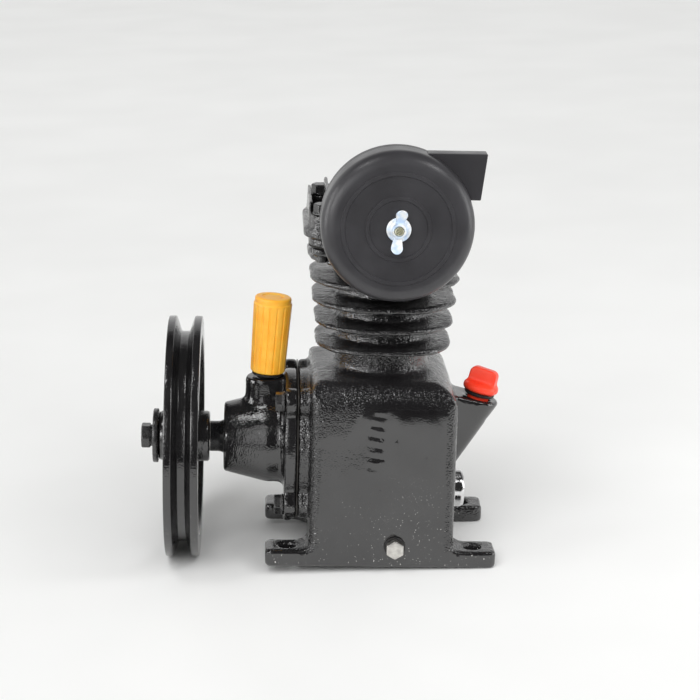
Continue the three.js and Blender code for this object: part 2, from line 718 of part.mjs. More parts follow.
const CHAMBER = { halfX: 31, nearY: 3, farY: 38, top: 260 };
const chamberBox = (sy, from, to) => {
  const centre = (sy * (CHAMBER.nearY + CHAMBER.farY)) / 2;
  const depth = CHAMBER.farY - CHAMBER.nearY;
  return prism(roundedRect(HEAD_X, centre, 2 * CHAMBER.halfX, depth, 6), from, to, "z", 3);
};
const chambers = (from, to) => join(...signs.map((sy) => chamberBox(sy, from, to)));

part(
  "head_gasket",
  cut(
    prism(headOutline(), HEAD_Z - SEAT - GASKET, HEAD_Z - SEAT, "z", 4),
    chambers(235, 255),
    boltHoles(BOLT_HOLE_R, 235, 255),
  ),
  MATERIAL.gasket,
);

// ---- cylinder head ------------------------------------------------------------------

// How far a fin can run along Y inside the flange's rounded outline.
function finReach(offset) {
  const straight = HEAD.width / 2 - HEAD.cornerR;
  const over = Math.max(0, offset + HEAD_FIN.root - straight);
  return HEAD.depth / 2 - HEAD.cornerR + Math.sqrt(HEAD.cornerR ** 2 - over ** 2) - 3;
}

function headFin(offset, top) {
  const reach = finReach(Math.abs(offset));
  const x = HEAD_X + offset;
  const outline = polygon([
    [x - HEAD_FIN.root, HEAD_Z + 4],
    [x + HEAD_FIN.root, HEAD_Z + 4],
    [x + HEAD_FIN.tip, top],
    [x - HEAD_FIN.tip, top],
  ]);
  return prism(outline, -reach, reach, "y");
}

function buildHead() {
  const fins = HEAD_FINS.flatMap(({ offset, top }) => signs.map((side) => headFin(side * offset, top)));
  const outline = roundedRect(HEAD_X, 0, HEAD.width, HEAD.depth, HEAD.cornerR);
  const flange = prism(outline, HEAD_Z, HEAD_Z + HEAD.flange, "z", 6);
  const core = prism(roundedRect(HEAD_X, 0, 74, 88, 8), HEAD_Z + 1, HEAD_CORE_TOP, "z", 3);
  const atBolts = (r, from, to) =>
    headBolts((sx, sy) => atHeadBolt(round(r, from, to, "z", SMALL), sx, sy));
  const intake = round(17, -52.5, -20, "y", MEDIUM);
  const delivery = round(DELIVERY.bossR, 20, DELIVERY.face, "y", MEDIUM);
  return cut(
    join(
      cut(join(flange, core, ...fins), atBolts(9.5, HEAD_BOLT_SEAT, 300)),
      atBolts(8.2, HEAD_Z + 1, HEAD_BOLT_SEAT),
      moved(intake, FILTER.x, 0, FILTER.z),
      moved(delivery, HEAD_X, 0, DELIVERY.z),
    ),
    chambers(HEAD_Z - 1, CHAMBER.top),
    moved(round(11.6, -60, -24, "y", MEDIUM), FILTER.x, 0, FILTER.z),
    moved(round(DELIVERY.boreR, 30, DELIVERY.face + 5, "y", MEDIUM), HEAD_X, 0, DELIVERY.z),
    boltHoles(BOLT_HOLE_R, HEAD_Z - 1, HEAD_BOLT_SEAT + 1),
  );
}

part("cylinder_head", buildHead(), MATERIAL.enamel);

corners.forEach(([sx, sy], i) => {
  const bolt = hexBolt(13, 6.2, 3.8, HEAD_BOLT_SEAT - 226, 8);
  const mesh = part(`head_bolt_${i + 1}`, bolt, MATERIAL.blackSteel);
  mesh.position.set(HEAD_X + sx * HEAD.boltX, sy * HEAD.boltY, HEAD_BOLT_SEAT + SEAT);
  mesh.rotation.z = Math.PI / 6;
});

// ---- intake filter; local Y runs from the cover's face towards the head ---------------

const filter = assembly(FILTER.x, FILTER.faceY, FILTER.z);
const coverEnd = FILTER.depth - 0.6;

function arc(centreR, centreY, radius, steps) {
  return Array.from({ length: steps + 1 }, (_, i) => {
    const angle = (i * Math.PI) / (2 * steps);
    return [centreR + radius * Math.sin(angle), centreY - radius * Math.cos(angle)];
  });
}

// The intake horn leaves the cover at a tangent, towards +X, and its mouth is cut at a slant.
const HORN = { root: 20, top: 50.7, bottom: 18, tipTop: 61.8, tipBottom: 58, near: 15.5, wall: 2 };
const COVER_RIDGES = [21.8, 38.8]; // radius of each raised ring on the cover's face
const COVER_SIDES = 30;

function buildCover() {
  const { r, edgeR, wall } = FILTER;
  const bend = (radius) => arc(r - edgeR, edgeR, radius, 3);
  const ridges = COVER_RIDGES.flatMap((at) => [[at - 1.4, 0], [at, -0.7], [at + 1.4, 0]]);
  const shell = turned([
    [0, 0], ...ridges, ...bend(edgeR),
    [r, coverEnd], [r - wall, coverEnd],
    ...bend(edgeR - wall).reverse(),
    [0, wall],
  ], "y", COVER_SIDES);
  const cavity = turned([
    [0, wall], ...bend(edgeR - wall), [r - wall, coverEnd + 1], [0, coverEnd + 1],
  ], "y", COVER_SIDES);

  const [low, high] = [HORN.bottom + HORN.wall, HORN.top - HORN.wall];
  const [near, far] = [HORN.near + HORN.wall, coverEnd - HORN.wall];
  const outside = polygon([
    [HORN.root, HORN.bottom], [HORN.tipBottom, HORN.bottom],
    [HORN.tipTop, HORN.top], [HORN.root, HORN.top],
  ]);
  const passage = polygon([[HORN.root, low], [70, low], [70, high], [HORN.root, high]]);
  const horn = cut(prism(outside, HORN.near, coverEnd, "y"), prism(passage, near, far, "y"), cavity);
  const window = common(
    prism(polygon([[30, low], [60, low], [60, high], [30, high]]), near, far, "y"),
    round(r + 1, 0, 40, "y", MEDIUM),
  );
  const studHole = round(4, -5, 5, "y", SMALL);
  return cut(join(shell, horn), window, studHole);
}

part("filter_cover", buildCover(), MATERIAL.blackPlastic, filter);

function buildFilterPlate() {
  const start = FILTER.depth - 0.2;
  const end = start + 4;
  const lipR = FILTER.r - FILTER.wall - 0.4; // the lip that centres the cover
  const headFace = -FILTER.faceY - 52.9;
  const plate = join(
    ring(FILTER.r, 8, start, end, "y", COVER_SIDES),
    ring(lipR, lipR - 2, start - 4, start + 1, "y", COVER_SIDES),
    round(NECK_R, end - 1, headFace, "y", MEDIUM),
  );
  const spigot = ring(11.3, 9.2, end - 1, headFace + 12.9, "y", MEDIUM);
  const studBar = block(-10.8, 10.8, start, end, -1.5, 1.5).rotate([0, 30, 0]);
  const studBoss = round(6, start - 1, end + 2, "y", SMALL);
  return cut(
    join(cut(plate, round(10.4, start - 1, 60, "y", MEDIUM)), spigot, studBar, studBoss),
    round(3.6, 10, 60, "y", SMALL),
  );
}

part("filter_back_plate", buildFilterPlate(), MATERIAL.blackPlastic, filter);

// Pleated paper ring, with a zigzag outside and a zigzag inside.
function buildElement() {
  const pleats = 24;
  const outline = (outer, inner) =>
    Array.from({ length: 2 * pleats }, (_, i) => {
      const r = i % 2 ? inner : outer;
      const angle = (Math.PI * i) / pleats;
      return new THREE.Vector2(r * Math.cos(angle), r * Math.sin(angle));
    });
  const shape = new THREE.Shape(outline(45, 37));
  shape.holes.push(new THREE.Path(outline(34, 26).reverse()));
  return prism(shape, 4, 25.5, "y");
}

part("filter_element", buildElement(), MATERIAL.paper, filter);
part("filter_stud", round(3.3, -8.4, 39, "y", SMALL), MATERIAL.brass, filter);

// Wing nut: washer face, tapered hub and two rounded wings that lean outwards.
function buildWingNut() {
  const wing = new THREE.Shape();
  wing.moveTo(3.8, -6.8);
  wing.lineTo(5.4, -1.6);
  wing.lineTo(9, -3);
  wing.absarc(12, -9, 4.8, 1.1, -2.2, true);
  const wings = [0, 180].map((turn) => prism(wing, -1.5, 1.5).rotate([0, turn, 0]));
  return cut(
    join(
      turned([[0, -1], [8.7, -1], [8.7, -2.6], [6.4, -3], [5, -8.2], [0, -8.2]], "y", MEDIUM),
      ...wings,
    ),
    round(3.6, -20, 5, "y", SMALL),
  );
}

const wingNut = part("wing_nut", buildWingNut(), MATERIAL.zinc, filter);
wingNut.rotation.y = THREE.MathUtils.degToRad(-83);

// ---- breather, oil filler plug, sight glass and drain --------------------------------

const breather = assembly(CAP_X, 0, BREATHER_Z + SEAT);
breather.rotation.y = THREE.MathUtils.degToRad(3.6); // it leans a little towards the cylinder

part(
  "breather_neck",
  join(
    ring(11.3, 5, 1, 3.2, "z", MEDIUM),
    ring(5.6, 4.2, -9, 14, "z", SMALL),
  ),
  MATERIAL.rubber,
  breather,
);

function buildBreatherCap() {
  const flutes = 14;
  const bottom = 3.6;
  const top = 61.6;
  const section = (r, z) =>
    Array.from({ length: flutes * 4 }, (_, i) => {
      const inset = i % 4 < 2 ? 0 : 0.9;
      const angle = (2 * Math.PI * i) / (flutes * 4);
      return [(r - inset) * Math.cos(angle), (r - inset) * Math.sin(angle), z];
    });
  const fluted = lofted(section(13, bottom), section(14.4, top - 3));
  const crownProfile = [[0, top - 5], [13.2, top - 5], [13.2, top - 1], [12.2, top], [0, top]];
  const crown = turned(crownProfile, "z", MEDIUM);
  return cut(join(fluted, crown), round(10.6, bottom - 1, top - 6, "z", MEDIUM));
}

part("breather_cap", buildBreatherCap(), MATERIAL.orangePlastic, breather);

const filler = assembly(PLUG.x, 0, PLUG.z);
filler.rotation.y = THREE.MathUtils.degToRad(PLUG.tiltDegrees);

function buildPlug() {
  const grip = prism(roundedRect(0, 0, 20, 11, 3.5), 9, 22.4, "z", 4);
  const { threadR, flangeR } = PLUG;
  const body = turned([
    [0, -14], [threadR - 0.6, -14], [threadR, -12], [threadR, 4.5], [flangeR - 2.1, 4.5],
    [flangeR - 0.2, 6], [flangeR, 9], [flangeR - 1, 10.4], [9.5, 11.4], [0, 11.4],
  ], "z", MEDIUM);
  return cut(join(grip, body), round(6, -15, 3, "z", SMALL));
}

part("oil_filler_plug", buildPlug(), MATERIAL.redPlastic, filler);
part("filler_o_ring", ring(11.6, 8.8, 1.5, 4.2, "z", MEDIUM), MATERIAL.rubber, filler);

const glass = assembly(CASE.right, 0, GLASS.z);
part(
  "sight_glass_bezel",
  cut(
    join(
      turned([
        [0, 0.3], [GLASS.r, 0.3], [GLASS.r, 3.5], [14.4, 4.2], [14.4, 9.4],
        [12.6, GLASS.proud], [0, GLASS.proud],
      ], "x", MEDIUM),
      round(9.2, -7, 1, "x", MEDIUM),
    ),
    round(GLASS.lensR + 0.3, 6, 20, "x", MEDIUM),
    round(7.5, -10, 10, "x", MEDIUM),
  ),
  MATERIAL.chrome,
  glass,
);
part("sight_glass_lens", round(GLASS.lensR, 6.3, 9.6, "x", MEDIUM), MATERIAL.glass, glass);

const drain = assembly(DRAIN.x, -CASE.depth / 2, DRAIN.z);
part("drain_plug_gasket", ring(8, 4.6, -1.5, -0.2, "y", MEDIUM), MATERIAL.rubber, drain);
part(
  "drain_plug",
  join(
    prism(hexagon(DRAIN.acrossFlats, Math.PI / 6), -8, -1.7, "y"),
    round(4.3, -2, 7, "y", SMALL),
  ),
  MATERIAL.zinc,
  drain,
);

export default pump;
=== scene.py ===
"""Looks of a belt-driven, single-cylinder air-compressor pump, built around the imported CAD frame.

Lengths in the shape functions are millimetres in the row frame; meshes are made in metres.
Places in finishes, lamps and the camera are in metres.
"""
from functools import reduce
from math import cos, hypot, pi, radians, sin

import bmesh
import bpy
import numpy as np
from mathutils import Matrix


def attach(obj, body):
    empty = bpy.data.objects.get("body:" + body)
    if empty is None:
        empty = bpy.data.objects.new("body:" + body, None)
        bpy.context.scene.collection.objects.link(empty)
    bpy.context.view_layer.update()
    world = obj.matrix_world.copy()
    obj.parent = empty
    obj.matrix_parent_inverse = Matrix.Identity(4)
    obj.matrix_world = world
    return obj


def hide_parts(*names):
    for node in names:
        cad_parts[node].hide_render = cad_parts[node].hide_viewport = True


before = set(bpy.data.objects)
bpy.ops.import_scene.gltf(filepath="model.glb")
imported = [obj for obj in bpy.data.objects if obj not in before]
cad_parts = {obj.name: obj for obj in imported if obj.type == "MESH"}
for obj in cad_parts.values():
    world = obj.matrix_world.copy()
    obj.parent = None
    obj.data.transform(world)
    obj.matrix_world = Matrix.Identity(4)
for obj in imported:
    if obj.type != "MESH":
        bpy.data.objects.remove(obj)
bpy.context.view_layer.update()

import openvdb
from mathutils import Matrix, Vector

MM = 0.001
scene = bpy.context.scene


# ---- driving dimensions, as in the CAD source ----

CRANK_Z = 81
SHAFT = (0, CRANK_Z)  # the shaft's axis, in Y and Z
CASE_LEFT, CASE_RIGHT, CASE_HALF_DEPTH, CASE_TOP = -53.5, 54, 63.5, 140
CASE_WALL = 6
FOOT_REACH, FOOT_THICK, FOOT_HOLE = 85.8, 12.8, (69.2, 50, 5.9)
BARREL_R, BORE_R, DECK_Z, DECK_THICK, DECK_R = 35, 30, 237, 6, 47.5
CASE_BARREL_TOP, CYLINDER_FOOT = 160.5, 158.8  # the two meshes of the casting overlap here
FIN_FIRST_Z, FIN_PITCH = 161, 16.5
FIN_REACH, FIN_FLAT = (50.7, 52.1, 53.9, 55.6, 57.4), 11
FLANGE_R, FLANGE_BOLT, FLANGE_LOBE_R = 52.5, 40, 10
CLEAR_HOLE_R, TAPPED_HOLE_R = 4.4, 4.1  # for the M8 bolts
CASE_FLANGE_X = -62
CARRIER_X = (-72.2, -63.2)  # the carrier's flange
SNOUT_X, SNOUT_TIP_R, SNOUT_CONE_X, SNOUT_ROOT_R = -117.8, 26, -86, 34
SPIGOT_R, SPIGOT_X = 39.7, -41
BREATHER_X, BREATHER_Z, BREATHER_TILT = -87.2, 129.3, radians(3.6)
CAP_X = -85.7  # the breather's own axis, a little right of its boss
HEAD_X, HEAD_Z = -2, 244.2
HEAD_BOLT = (45, 38)
HEAD_SEAT_Z = 261.5
PORT_Z = 261  # the delivery port at the back of the head
FILTER_X, FILTER_Y, FILTER_Z = 3.5, -96.5, 264
FILTER = (FILTER_X, FILTER_Z)  # its axis, in X and Z
PLUG_X, PLUG_Z, PLUG_TILT, PLUG_BORE_DEPTH = 74.6, 115.2, radians(12.8), 15.5
NECK_LOW_Z = 58
GLASS_Z = 41.5
DRAIN_X, DRAIN_Z = 10.1, 16.7


# ---- camera ----

CAMERA_PLACE = (-0.0914, -1.47973, 0.5597)
CAMERA_YAW, CAMERA_PITCH, CAMERA_ROLL = 0.0457, 0.2698, -0.0256
CAMERA_LENS = 105.02


def make_camera():
    level = Vector((sin(CAMERA_YAW), cos(CAMERA_YAW), 0))
    forward = cos(CAMERA_PITCH) * level - Vector((0, 0, sin(CAMERA_PITCH)))
    right = Vector((cos(CAMERA_YAW), -sin(CAMERA_YAW), 0))
    down = forward.cross(right)
    cos_roll, sin_roll = cos(CAMERA_ROLL), sin(CAMERA_ROLL)
    rolled_right = cos_roll * right + sin_roll * down
    rolled_down = cos_roll * down - sin_roll * right
    camera = bpy.data.objects.new("camera", bpy.data.cameras.new("camera"))
    camera.data.sensor_width = 36
    camera.data.lens = CAMERA_LENS
    camera.data.clip_start, camera.data.clip_end = 0.05, 60
    turn = Matrix((rolled_right, -rolled_down, -forward)).transposed()
    camera.matrix_world = Matrix.Translation(CAMERA_PLACE) @ turn.to_4x4()
    scene.collection.objects.link(camera)
    scene.camera = camera


make_camera()


# ---- distance fields ----
# A field takes coordinate arrays and gives the distance to a shape's surface, negative inside.

def rounded_rect(u, v, low, high, radii):
    """Flat rectangle; radii are those of the corners low-low, high-low, high-high and low-high."""
    if np.isscalar(radii):
        radii = (radii,) * 4
    mid_u, mid_v = (low[0] + high[0]) / 2, (low[1] + high[1]) / 2
    right, top = u > mid_u, v > mid_v
    r = np.where(top, np.where(right, radii[2], radii[3]), np.where(right, radii[1], radii[0]))
    a = np.abs(u - mid_u) - (high[0] - low[0]) / 2 + r
    b = np.abs(v - mid_v) - (high[1] - low[1]) / 2 + r
    return np.minimum(np.maximum(a, b), 0) + np.hypot(np.maximum(a, 0), np.maximum(b, 0)) - r


def polygon(u, v, points):
    """Flat outline given by its corners in order."""
    best, inside = None, None
    for (ax, ay), (bx, by) in zip(points, points[1:] + points[:1]):
        ex, ey = bx - ax, by - ay
        along = np.clip(((u - ax) * ex + (v - ay) * ey) / (ex * ex + ey * ey), 0, 1)
        gap = (u - ax - along * ex) ** 2 + (v - ay - along * ey) ** 2
        best = gap if best is None else np.minimum(best, gap)
        if ay != by:
            crosses = ((ay > v) != (by > v)) & (u < (bx - ax) * (v - ay) / (by - ay) + ax)
            inside = crosses if inside is None else inside ^ crosses
    return np.where(inside, -1, 1) * np.sqrt(best)


def rotated(u, v, angle):
    """Coordinates along axes that are turned by the angle from u towards v."""
    return u * cos(angle) + v * sin(angle), v * cos(angle) - u * sin(angle)


def pushed(flat, t, start, end):
    """A flat distance pushed along t from start to end."""
    a = np.abs(t - (start + end) / 2) - (end - start) / 2
    return np.minimum(np.maximum(flat, a), 0) + np.hypot(np.maximum(flat, 0), np.maximum(a, 0))


def box(p, low, high, r=0):
    q = [np.abs(c - (a + b) / 2) - (b - a) / 2 + r for c, a, b in zip(p, low, high)]
    outside = np.sqrt(sum(np.maximum(c, 0) ** 2 for c in q))
    return outside + np.minimum(common(*q), 0) - r


def rod(p, axis, centre, radius, start, end):
    """Cylinder along "x", "y" or "z"; centre holds the other two coordinates."""
    i = "xyz".index(axis)
    u, v = [p[j] for j in range(3) if j != i]
    return pushed(np.hypot(u - centre[0], v - centre[1]) - radius, p[i], start, end)


def turned(p, axis, centre, profile):
    """Turned shape; the profile holds [radius, place along the axis] corners."""
    i = "xyz".index(axis)
    u, v = [p[j] for j in range(3) if j != i]
    return polygon(np.hypot(u - centre[0], v - centre[1]), p[i], profile)


def hexagon(u, v, across_flats, turn=0):
    sides = [radians(60 * i + turn) for i in range(3)]
    return np.maximum.reduce([np.abs(u * cos(a) + v * sin(a)) for a in sides]) - across_flats / 2


def hex_head(u, v, t, across_flats, chamfer_r, foot, top, turn=0):
    """Hexagon from foot to top along t, chamfered at its top edge outside chamfer_r."""
    chamfer = (np.hypot(u, v) - chamfer_r) * 0.5 + (t - top) * 0.86
    return np.maximum(pushed(hexagon(u, v, across_flats, turn), t, foot, top), chamfer)


def union(*fields):
    return reduce(np.minimum, fields)


def common(*fields):
    """Where all the fields overlap."""
    return reduce(np.maximum, fields)


def cut(field, *tools):
    for tool in tools:
        field = np.maximum(field, -tool)
    return field


def fillet(a, b, size):
    """Union whose inner corner is filled over about size millimetres."""
    share = np.maximum(size - np.abs(a - b), 0) / size
    return np.minimum(a, b) - share * share * size / 4


def noise(points, size, seed):
    """Smooth random values from -1 to 1 that change over size millimetres."""
    side = 48
    lattice = np.random.default_rng(seed).uniform(-1, 1, (side,) * 3).astype(np.float32)
    q = points / size + 1000
    cell = np.floor(q).astype(np.int64)
    f = (q - cell).astype(np.float32)
    f = f * f * (3 - 2 * f)
    total = np.zeros(len(points), np.float32)
    for corner in np.ndindex(2, 2, 2):
        i = (cell + corner) % side
        w = np.prod(np.where(corner, f, 1 - f), axis=1)
        total += w * lattice[i[:, 0], i[:, 1], i[:, 2]]
    return total


# ---- meshes ----

def mesh_object(name, points, faces, smooth=True):
    """faces is a list of integer arrays, each with its own number of corners per face."""
    mesh = bpy.data.meshes.new(name)
    corners = [face for group in faces for face in group.tolist()]
    mesh.from_pydata(np.asarray(points, np.float32) * MM, [], corners, shade_flat=not smooth)
    mesh.validate()
    obj = bpy.data.objects.new(name, mesh)
    scene.collection.objects.link(obj)
    return obj


def solid(name, field, low, high, step, soften=2, rough=None, adaptivity=0.0):
    """Meshes a field. Each round of soften rounds edges and corners over about one step."""
    margin = 4 * step
    axes = [np.arange(a - margin, b + margin, step, dtype=np.float32) for a, b in zip(low, high)]
    p = np.meshgrid(*axes, indexing="ij", sparse=True)
    shape = tuple(len(a) for a in axes)
    d = np.clip(np.broadcast_to(field(p), shape), -margin, margin).astype(np.float32)
    for _ in range(soften):
        for axis in range(3):
            s = np.moveaxis(d, axis, 0)
            s[1:-1] = (s[:-2] + 2 * s[1:-1] + s[2:]) / 4
    if rough is not None:
        band = np.nonzero(np.abs(d) < 2.5 * step)
        places = np.stack([axes[i][band[i]] for i in range(3)], axis=1)
        d[band] -= rough(places)
    grid = openvdb.FloatGrid(margin)
    grid.copyFromArray(d)
    grid.gridClass = openvdb.GridClass.LEVEL_SET
    points, triangles, quads = grid.convertToPolygons(0.0, adaptivity)
    points = points * step + np.array([a[0] for a in axes])
    return mesh_object(name, points, [triangles[:, ::-1], quads[:, ::-1]])


# ---- materials ----

def connect(tree, socket, value):
    """Gives an input a plain value, or links another node's output to it."""
    if isinstance(value, bpy.types.NodeSocket):
        tree.links.new(value, socket)
    else:
        socket.default_value = value


def add_node(tree, kind, output, inputs, **settings):
    node = tree.nodes.new("ShaderNode" + kind)
    for key, value in settings.items():
        setattr(node, key, value)
    for key, value in inputs.items():
        connect(tree, node.inputs[key], value)
    return node.outputs[output]


class Finish:
    """A node material with one Principled shader; textures use the piece's own coordinates."""

    def __init__(self, name, **values):
        self.name = name
        self.material = bpy.data.materials.new(name)
        self.material.use_nodes = True
        self.tree = self.material.node_tree
        self.shader = self.tree.nodes["Principled BSDF"]
        self.place = self.tree.nodes.new("ShaderNodeTexCoord").outputs["Object"]
        for socket, value in values.items():
            self.shader.inputs[socket.replace("_", " ").title().replace("Ior", "IOR")].default_value = value

    def add(self, kind, output, inputs, **settings):
        return add_node(self.tree, kind, output, inputs, **settings)

    def to(self, socket, value):
        connect(self.tree, self.shader.inputs[socket], value)

    def grain(self, size, detail):
        """Noise whose features are about size millimetres across."""
        return self.add("TexNoise", 0, {"Vector": self.place, "Scale": 1 / (size * MM), "Detail": detail})

    def span(self, value, low, high, start=0.0, end=1.0):
        inputs = {"Value": value, "From Min": low, "From Max": high, "To Min": start, "To Max": end}
        return self.add("MapRange", 0, inputs)

    def times(self, a, b):
        return self.maths("MULTIPLY", a, b)

    def maths(self, operation, a, b):
        return self.add("Math", 0, {0: a, 1: b}, operation=operation)

    def blend(self, share, a, b):
        """Colour a turning into colour b; colours are linear (r, g, b)."""
        a, b = [c if isinstance(c, bpy.types.NodeSocket) else (*c, 1) for c in (a, b)]
        return self.add("Mix", 2, {0: share, 6: a, 7: b}, data_type="RGBA")

    def part_of_place(self, axis):
        return self.add("SeparateXYZ", "XYZ".index(axis), {0: self.place})

    def edges(self, low, high):
        """1 on sharp outer edges, broken up by a fine noise."""
        pointed = self.add("NewGeometry", "Pointiness", {})
        worn = self.span(pointed, low, high)
        return self.times(worn, self.span(self.grain(3.5, 4), 0.42, 0.62))

    def bump(self, height, depth, strength=1.0, under=None):
        """depth is in millimetres; under is a bump that this one lies on."""
        inputs = {"Height": height, "Distance": depth * MM, "Strength": strength}
        if under is not None:
            inputs["Normal"] = under
        return self.add("Bump", 0, inputs)


def rings(finish, axis, pitch):
    """Tool marks that run round an axis, pitch millimetres apart."""
    along = finish.part_of_place(axis)
    waver = finish.times(finish.grain(9, 1), 0.0006)
    phase = finish.times(finish.maths("ADD", along, waver), 2 * pi / (pitch * MM))
    return finish.add("Math", 0, {0: phase}, operation="SINE")


def black_enamel():
    """Thick gloss paint on a sand casting, smoothest on the case front and the feet's fronts.

    The neck's nose, the carrier and the wheel are smoother than the rest too.
    """
    f = Finish("black_enamel", ior=1.9)
    tone = f.blend(f.span(f.grain(26, 3), 0.4, 0.65), (0.0085, 0.008, 0.0085), (0.014, 0.0135, 0.014))
    tone = f.blend(f.times(f.edges(0.53, 0.6), 0.5), tone, (0.09, 0.085, 0.08))
    # Light grey specks low down, near the floor, are painted glints: reflections of the bright floor painted
    # into the enamel's colour.
    low_down = f.span(f.part_of_place("Z"), 0.075, 0.01)
    painted_glint_specks = f.span(f.grain(0.9, 0), 0.80, 0.84)
    tone = f.blend(f.times(painted_glint_specks, low_down), tone, (0.62, 0.61, 0.58))
    f.to("Base Color", tone)
    x, y, z = [f.part_of_place(axis) for axis in "XYZ"]
    front = f.span(y, -0.0610, -0.0632)
    ragged = f.maths("ADD", z, f.times(f.grain(20, 4), 0.034))
    ragged = f.maths("ADD", ragged, f.span(x, -0.013, -0.027, 0, 0.026))
    smooth = f.times(front, f.span(ragged, 0.149, 0.141))
    smooth = f.times(smooth, f.span(f.maths("ABSOLUTE", x, 0), 0.0485, 0.0455))
    feet = f.times(front, f.span(z, 0.0135, 0.011))
    neck = f.times(f.span(x, 0.0555, 0.0575), f.span(z, 0.056, 0.062, 0, 0.9))
    carrier = f.span(x, -0.062, -0.066, 0, 0.75)
    wheel = f.span(x, -0.124, -0.127, 0, 0.8)
    for part in (feet, neck, carrier, wheel):
        smooth = f.maths("MAXIMUM", smooth, part)
    rough = f.span(smooth, 0, 1, 1, 0.05)
    f.to("Roughness", f.span(f.grain(14, 3), 0.35, 0.7, 0.06, 0.16))
    broad = f.bump(f.grain(4.2, 1), 0.6, f.times(rough, 0.8))
    grains = f.times(f.span(f.grain(1.1, 0), 0.35, 0.7), rough)
    f.to("Normal", f.bump(grains, 0.2, 1.0, broad))
    return f


def surface(name, tones, shine, fine=None, wear=None, **values):
    """A finish with an uneven tone, an uneven polish and a fine grain.

    tones: patch size, detail, low, high, colour, colour; shine: the same with two roughnesses;
    fine: grain size, detail, depth, strength; wear: low, high, share and colour of the worn edges.
    """
    f = Finish(name, **values)
    tone = f.blend(f.span(f.grain(*tones[:2]), *tones[2:4]), *tones[4:])
    if wear:
        low, high, share, bare = wear
        tone = f.blend(f.times(f.edges(low, high), share), tone, bare)
    f.to("Base Color", tone)
    f.to("Roughness", f.span(f.grain(*shine[:2]), *shine[2:]))
    if fine:
        f.to("Normal", f.bump(f.grain(*fine[:2]), *fine[2:]))
    return f


def moulded(name, low, high, roughness):
    """Bright moulded plastic with slight flow marks."""
    tones, shine = (12, 3, 0.35, 0.68, low, high), (6, 2, 0.35, 0.7, roughness, roughness + 0.1)
    return surface(name, tones, shine, (0.7, 2, 0.02, 0.6), subsurface_weight=0.1, subsurface_scale=0.004)


def metal(name, low, high, roughness, patch=8, marks=None, pit=0.02):
    """Bare metal: tone patches, uneven polish, a fine grain and, with marks, tool marks over it."""
    tones, shine = (patch, 3, 0.36, 0.66, low, high), (patch * 0.6, 3, 0.35, 0.7, *roughness)
    f = surface(name, tones, shine, (0.6, 2, pit, 0.7), metallic=1.0)
    if marks:
        fine = f.shader.inputs["Normal"].links[0].from_socket
        f.to("Normal", f.bump(rings(f, *marks), 0.012, 0.6, fine))
    return f


def machined_steel():
    """Turned steel, painted on the stretch between the wheel's hub and the snout."""
    f = metal("machined_steel", (0.42, 0.41, 0.4), (0.58, 0.57, 0.55), (0.2, 0.36), marks=("X", 0.45))
    along = f.part_of_place("X")
    painted = f.times(f.span(along, -0.1282, -0.1278), f.span(along, -0.1178, -0.1182))
    steel = f.shader.inputs["Base Color"].links[0].from_socket
    f.to("Base Color", f.blend(painted, steel, (0.01, 0.01, 0.011)))
    f.to("Metallic", f.span(painted, 0, 1, 1, 0))
    return f


def bright_zinc():
    """Zinc plate with a patchy blue passivated skin."""
    f = metal("bright_zinc", (0.56, 0.7, 0.9), (0.93, 0.93, 0.9), (0.3, 0.46), 5, pit=0.03)
    f.to("Metallic", f.span(f.grain(4, 2), 0.35, 0.65, 0.1, 0.5))
    return f


